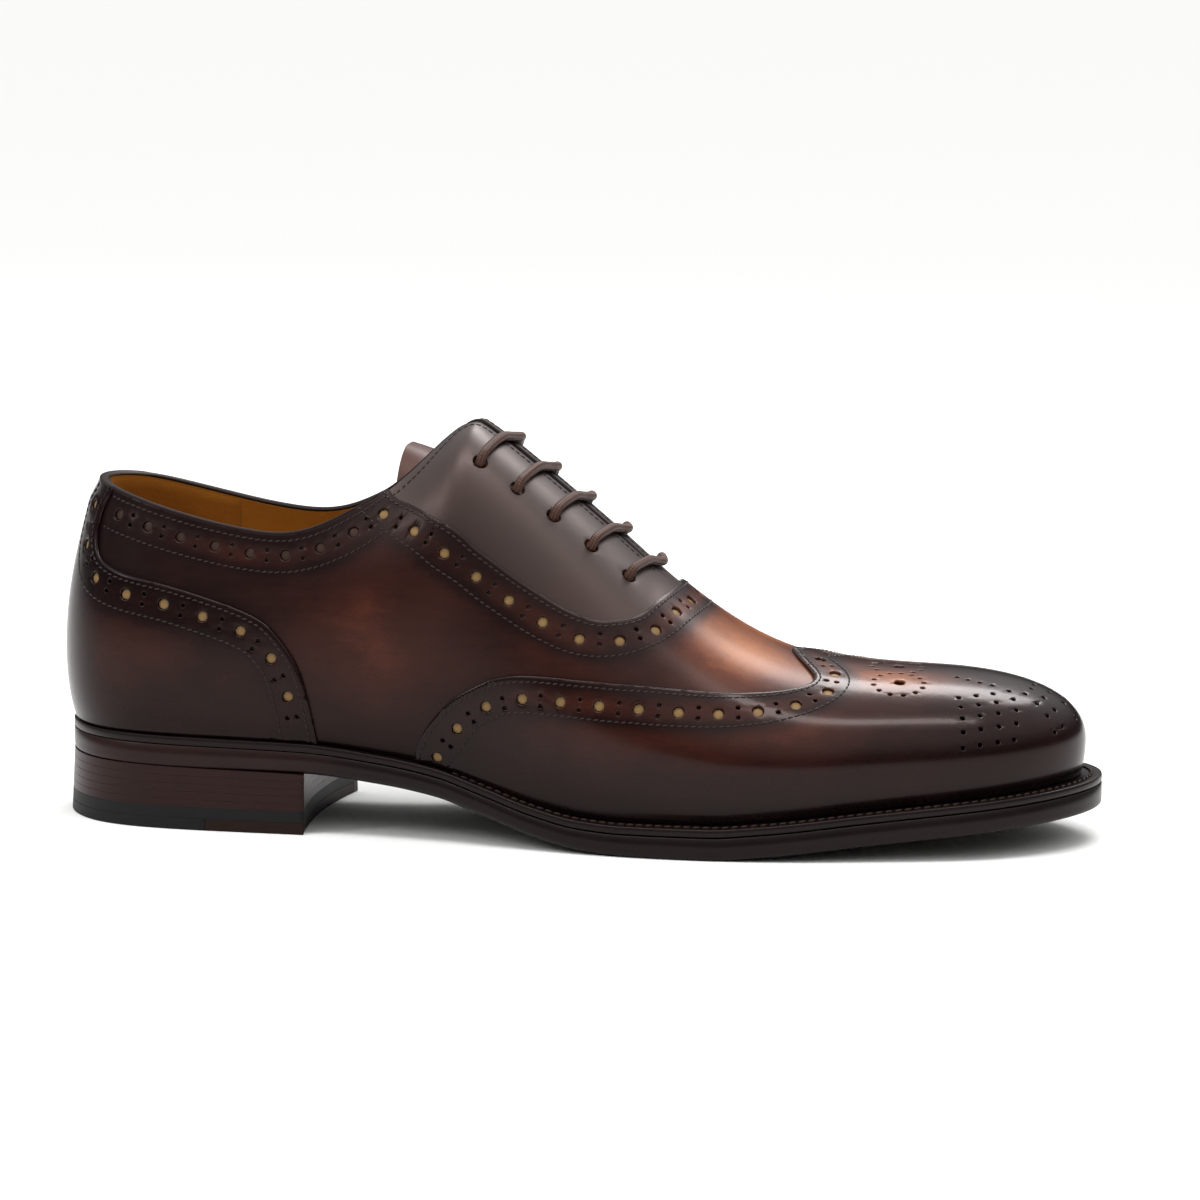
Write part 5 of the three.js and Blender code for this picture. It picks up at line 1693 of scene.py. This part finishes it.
def smooth_path(points, per_span):
    """A curve through points that rounds each corner without swinging wide."""
    gaps = np.sqrt(np.linalg.norm(np.diff(points, axis=0), axis=1))
    at = np.concatenate([[0], np.cumsum(gaps)])
    fine = []
    padded = np.vstack([2 * points[0] - points[1], points, 2 * points[-1] - points[-2]])
    marks = np.concatenate([[at[0] - gaps[0]], at, [at[-1] + gaps[-1]]])
    for i in range(1, len(points)):
        t0, t1, t2, t3 = marks[i - 1 : i + 3]
        p0, p1, p2, p3 = padded[i - 1 : i + 3]
        t = np.linspace(t1, t2, per_span, endpoint=False)[:, None]
        a1 = (t1 - t) / (t1 - t0) * p0 + (t - t0) / (t1 - t0) * p1
        a2 = (t2 - t) / (t2 - t1) * p1 + (t - t1) / (t2 - t1) * p2
        a3 = (t3 - t) / (t3 - t2) * p2 + (t - t2) / (t3 - t2) * p3
        b1 = (t2 - t) / (t2 - t0) * a1 + (t - t0) / (t2 - t0) * a2
        b2 = (t3 - t) / (t3 - t1) * a2 + (t - t1) / (t3 - t1) * a3
        fine.append((t2 - t) / (t2 - t1) * b1 + (t - t1) / (t2 - t1) * b2)
    return np.vstack([*fine, points[-1:]])


lace_path = smooth_path(route, 8)
lace_run = unit(np.gradient(lace_path, axis=0))
side = np.zeros_like(lace_run)
side[0] = unit(np.cross(lace_run[0], [1.0, 0.2, 0.1]))
for i in range(1, len(side)):
    side[i] = unit(side[i - 1] - lace_run[i] * (side[i - 1] @ lace_run[i]))
lace = sweep(
    "lace", lace_path, side * LACE_RADIUS, np.cross(lace_run, side) * LACE_RADIUS, 14,
)
dress(lace, lace_cord, "lace", *[f"lace_bar_{i + 1}" for i in range(5)])

# A wide pale floor, a hair under the sole so that the two faces don't share one plane.
FLOOR_SIZE = 40.0
FLOOR_BELOW = 0.1 * MM
bpy.ops.mesh.primitive_plane_add(size=FLOOR_SIZE, location=(0, 0, -FLOOR_BELOW))
floor = bpy.context.object
floor.name = "studio_floor"
# Matte paper: nearly white, with no gloss and only a trace of unevenness.
floor_paper, floor_tree, floor_shader = new_material("matte_studio_paper", Roughness=0.85)
floor_place = add_node(floor_tree, "ShaderNodeTexCoord").outputs["Object"]
floor_noise = add_node(
    floor_tree, "ShaderNodeTexNoise", {"Vector": floor_place, "Scale": 400.0, "Detail": 3.0}
)
floor_ramp = add_node(floor_tree, "ShaderNodeValToRGB", {"Fac": floor_noise.outputs["Fac"]})
set_ramp(floor_ramp, [(0.3, "#efefee"), (0.7, "#f4f4f3")])
floor_tree.links.new(floor_ramp.outputs[0], floor_shader.inputs["Base Color"])
floor.data.materials.append(floor_paper)

# The studio: a pale ceiling that fades to a dim horizon, and soft boxes over the shoe.
world = bpy.context.scene.world or bpy.data.worlds.new("studio")
bpy.context.scene.world = world
world.use_nodes = True
studio = world.node_tree
heading = add_node(studio, "ShaderNodeTexCoord").outputs["Generated"]
upward = add_node(studio, "ShaderNodeSeparateXYZ", {"Vector": heading}).outputs["Z"]
ceiling = add_node(
    studio, "ShaderNodeMapRange",
    {"Value": upward, "From Min": 0.1, "From Max": 0.75, "To Min": 0.04, "To Max": 1.38},
    interpolation_type="SMOOTHSTEP",
)
studio.links.new(ceiling.outputs[0], studio.nodes["Background"].inputs["Strength"])
studio.nodes["Background"].inputs["Color"].default_value = hex_colour("#ffffff")


def soft_light(name, place, size, watts, target=(0.11, 0, 0.04)):
    """A rectangular light turned to the shoe."""
    bpy.ops.object.light_add(type="AREA", location=place)
    light = bpy.context.object
    light.name = name
    light.data.shape = "RECTANGLE"
    light.data.size, light.data.size_y = size
    light.data.energy = watts
    light.rotation_euler = (Vector(target) - Vector(place)).to_track_quat("-Z", "Y").to_euler()
    return light


soft_light("overhead_box", (0.15, -0.2, 0.95), (0.9, 0.14), 5)
soft_light("rear_box", (0.3, 0.65, 0.8), (0.6, 0.24), 5.5)
soft_light("side_box", (-0.6, -0.5, 0.6), (0.15, 0.3), 1.5)

bpy.context.scene.view_settings.view_transform = "Standard"
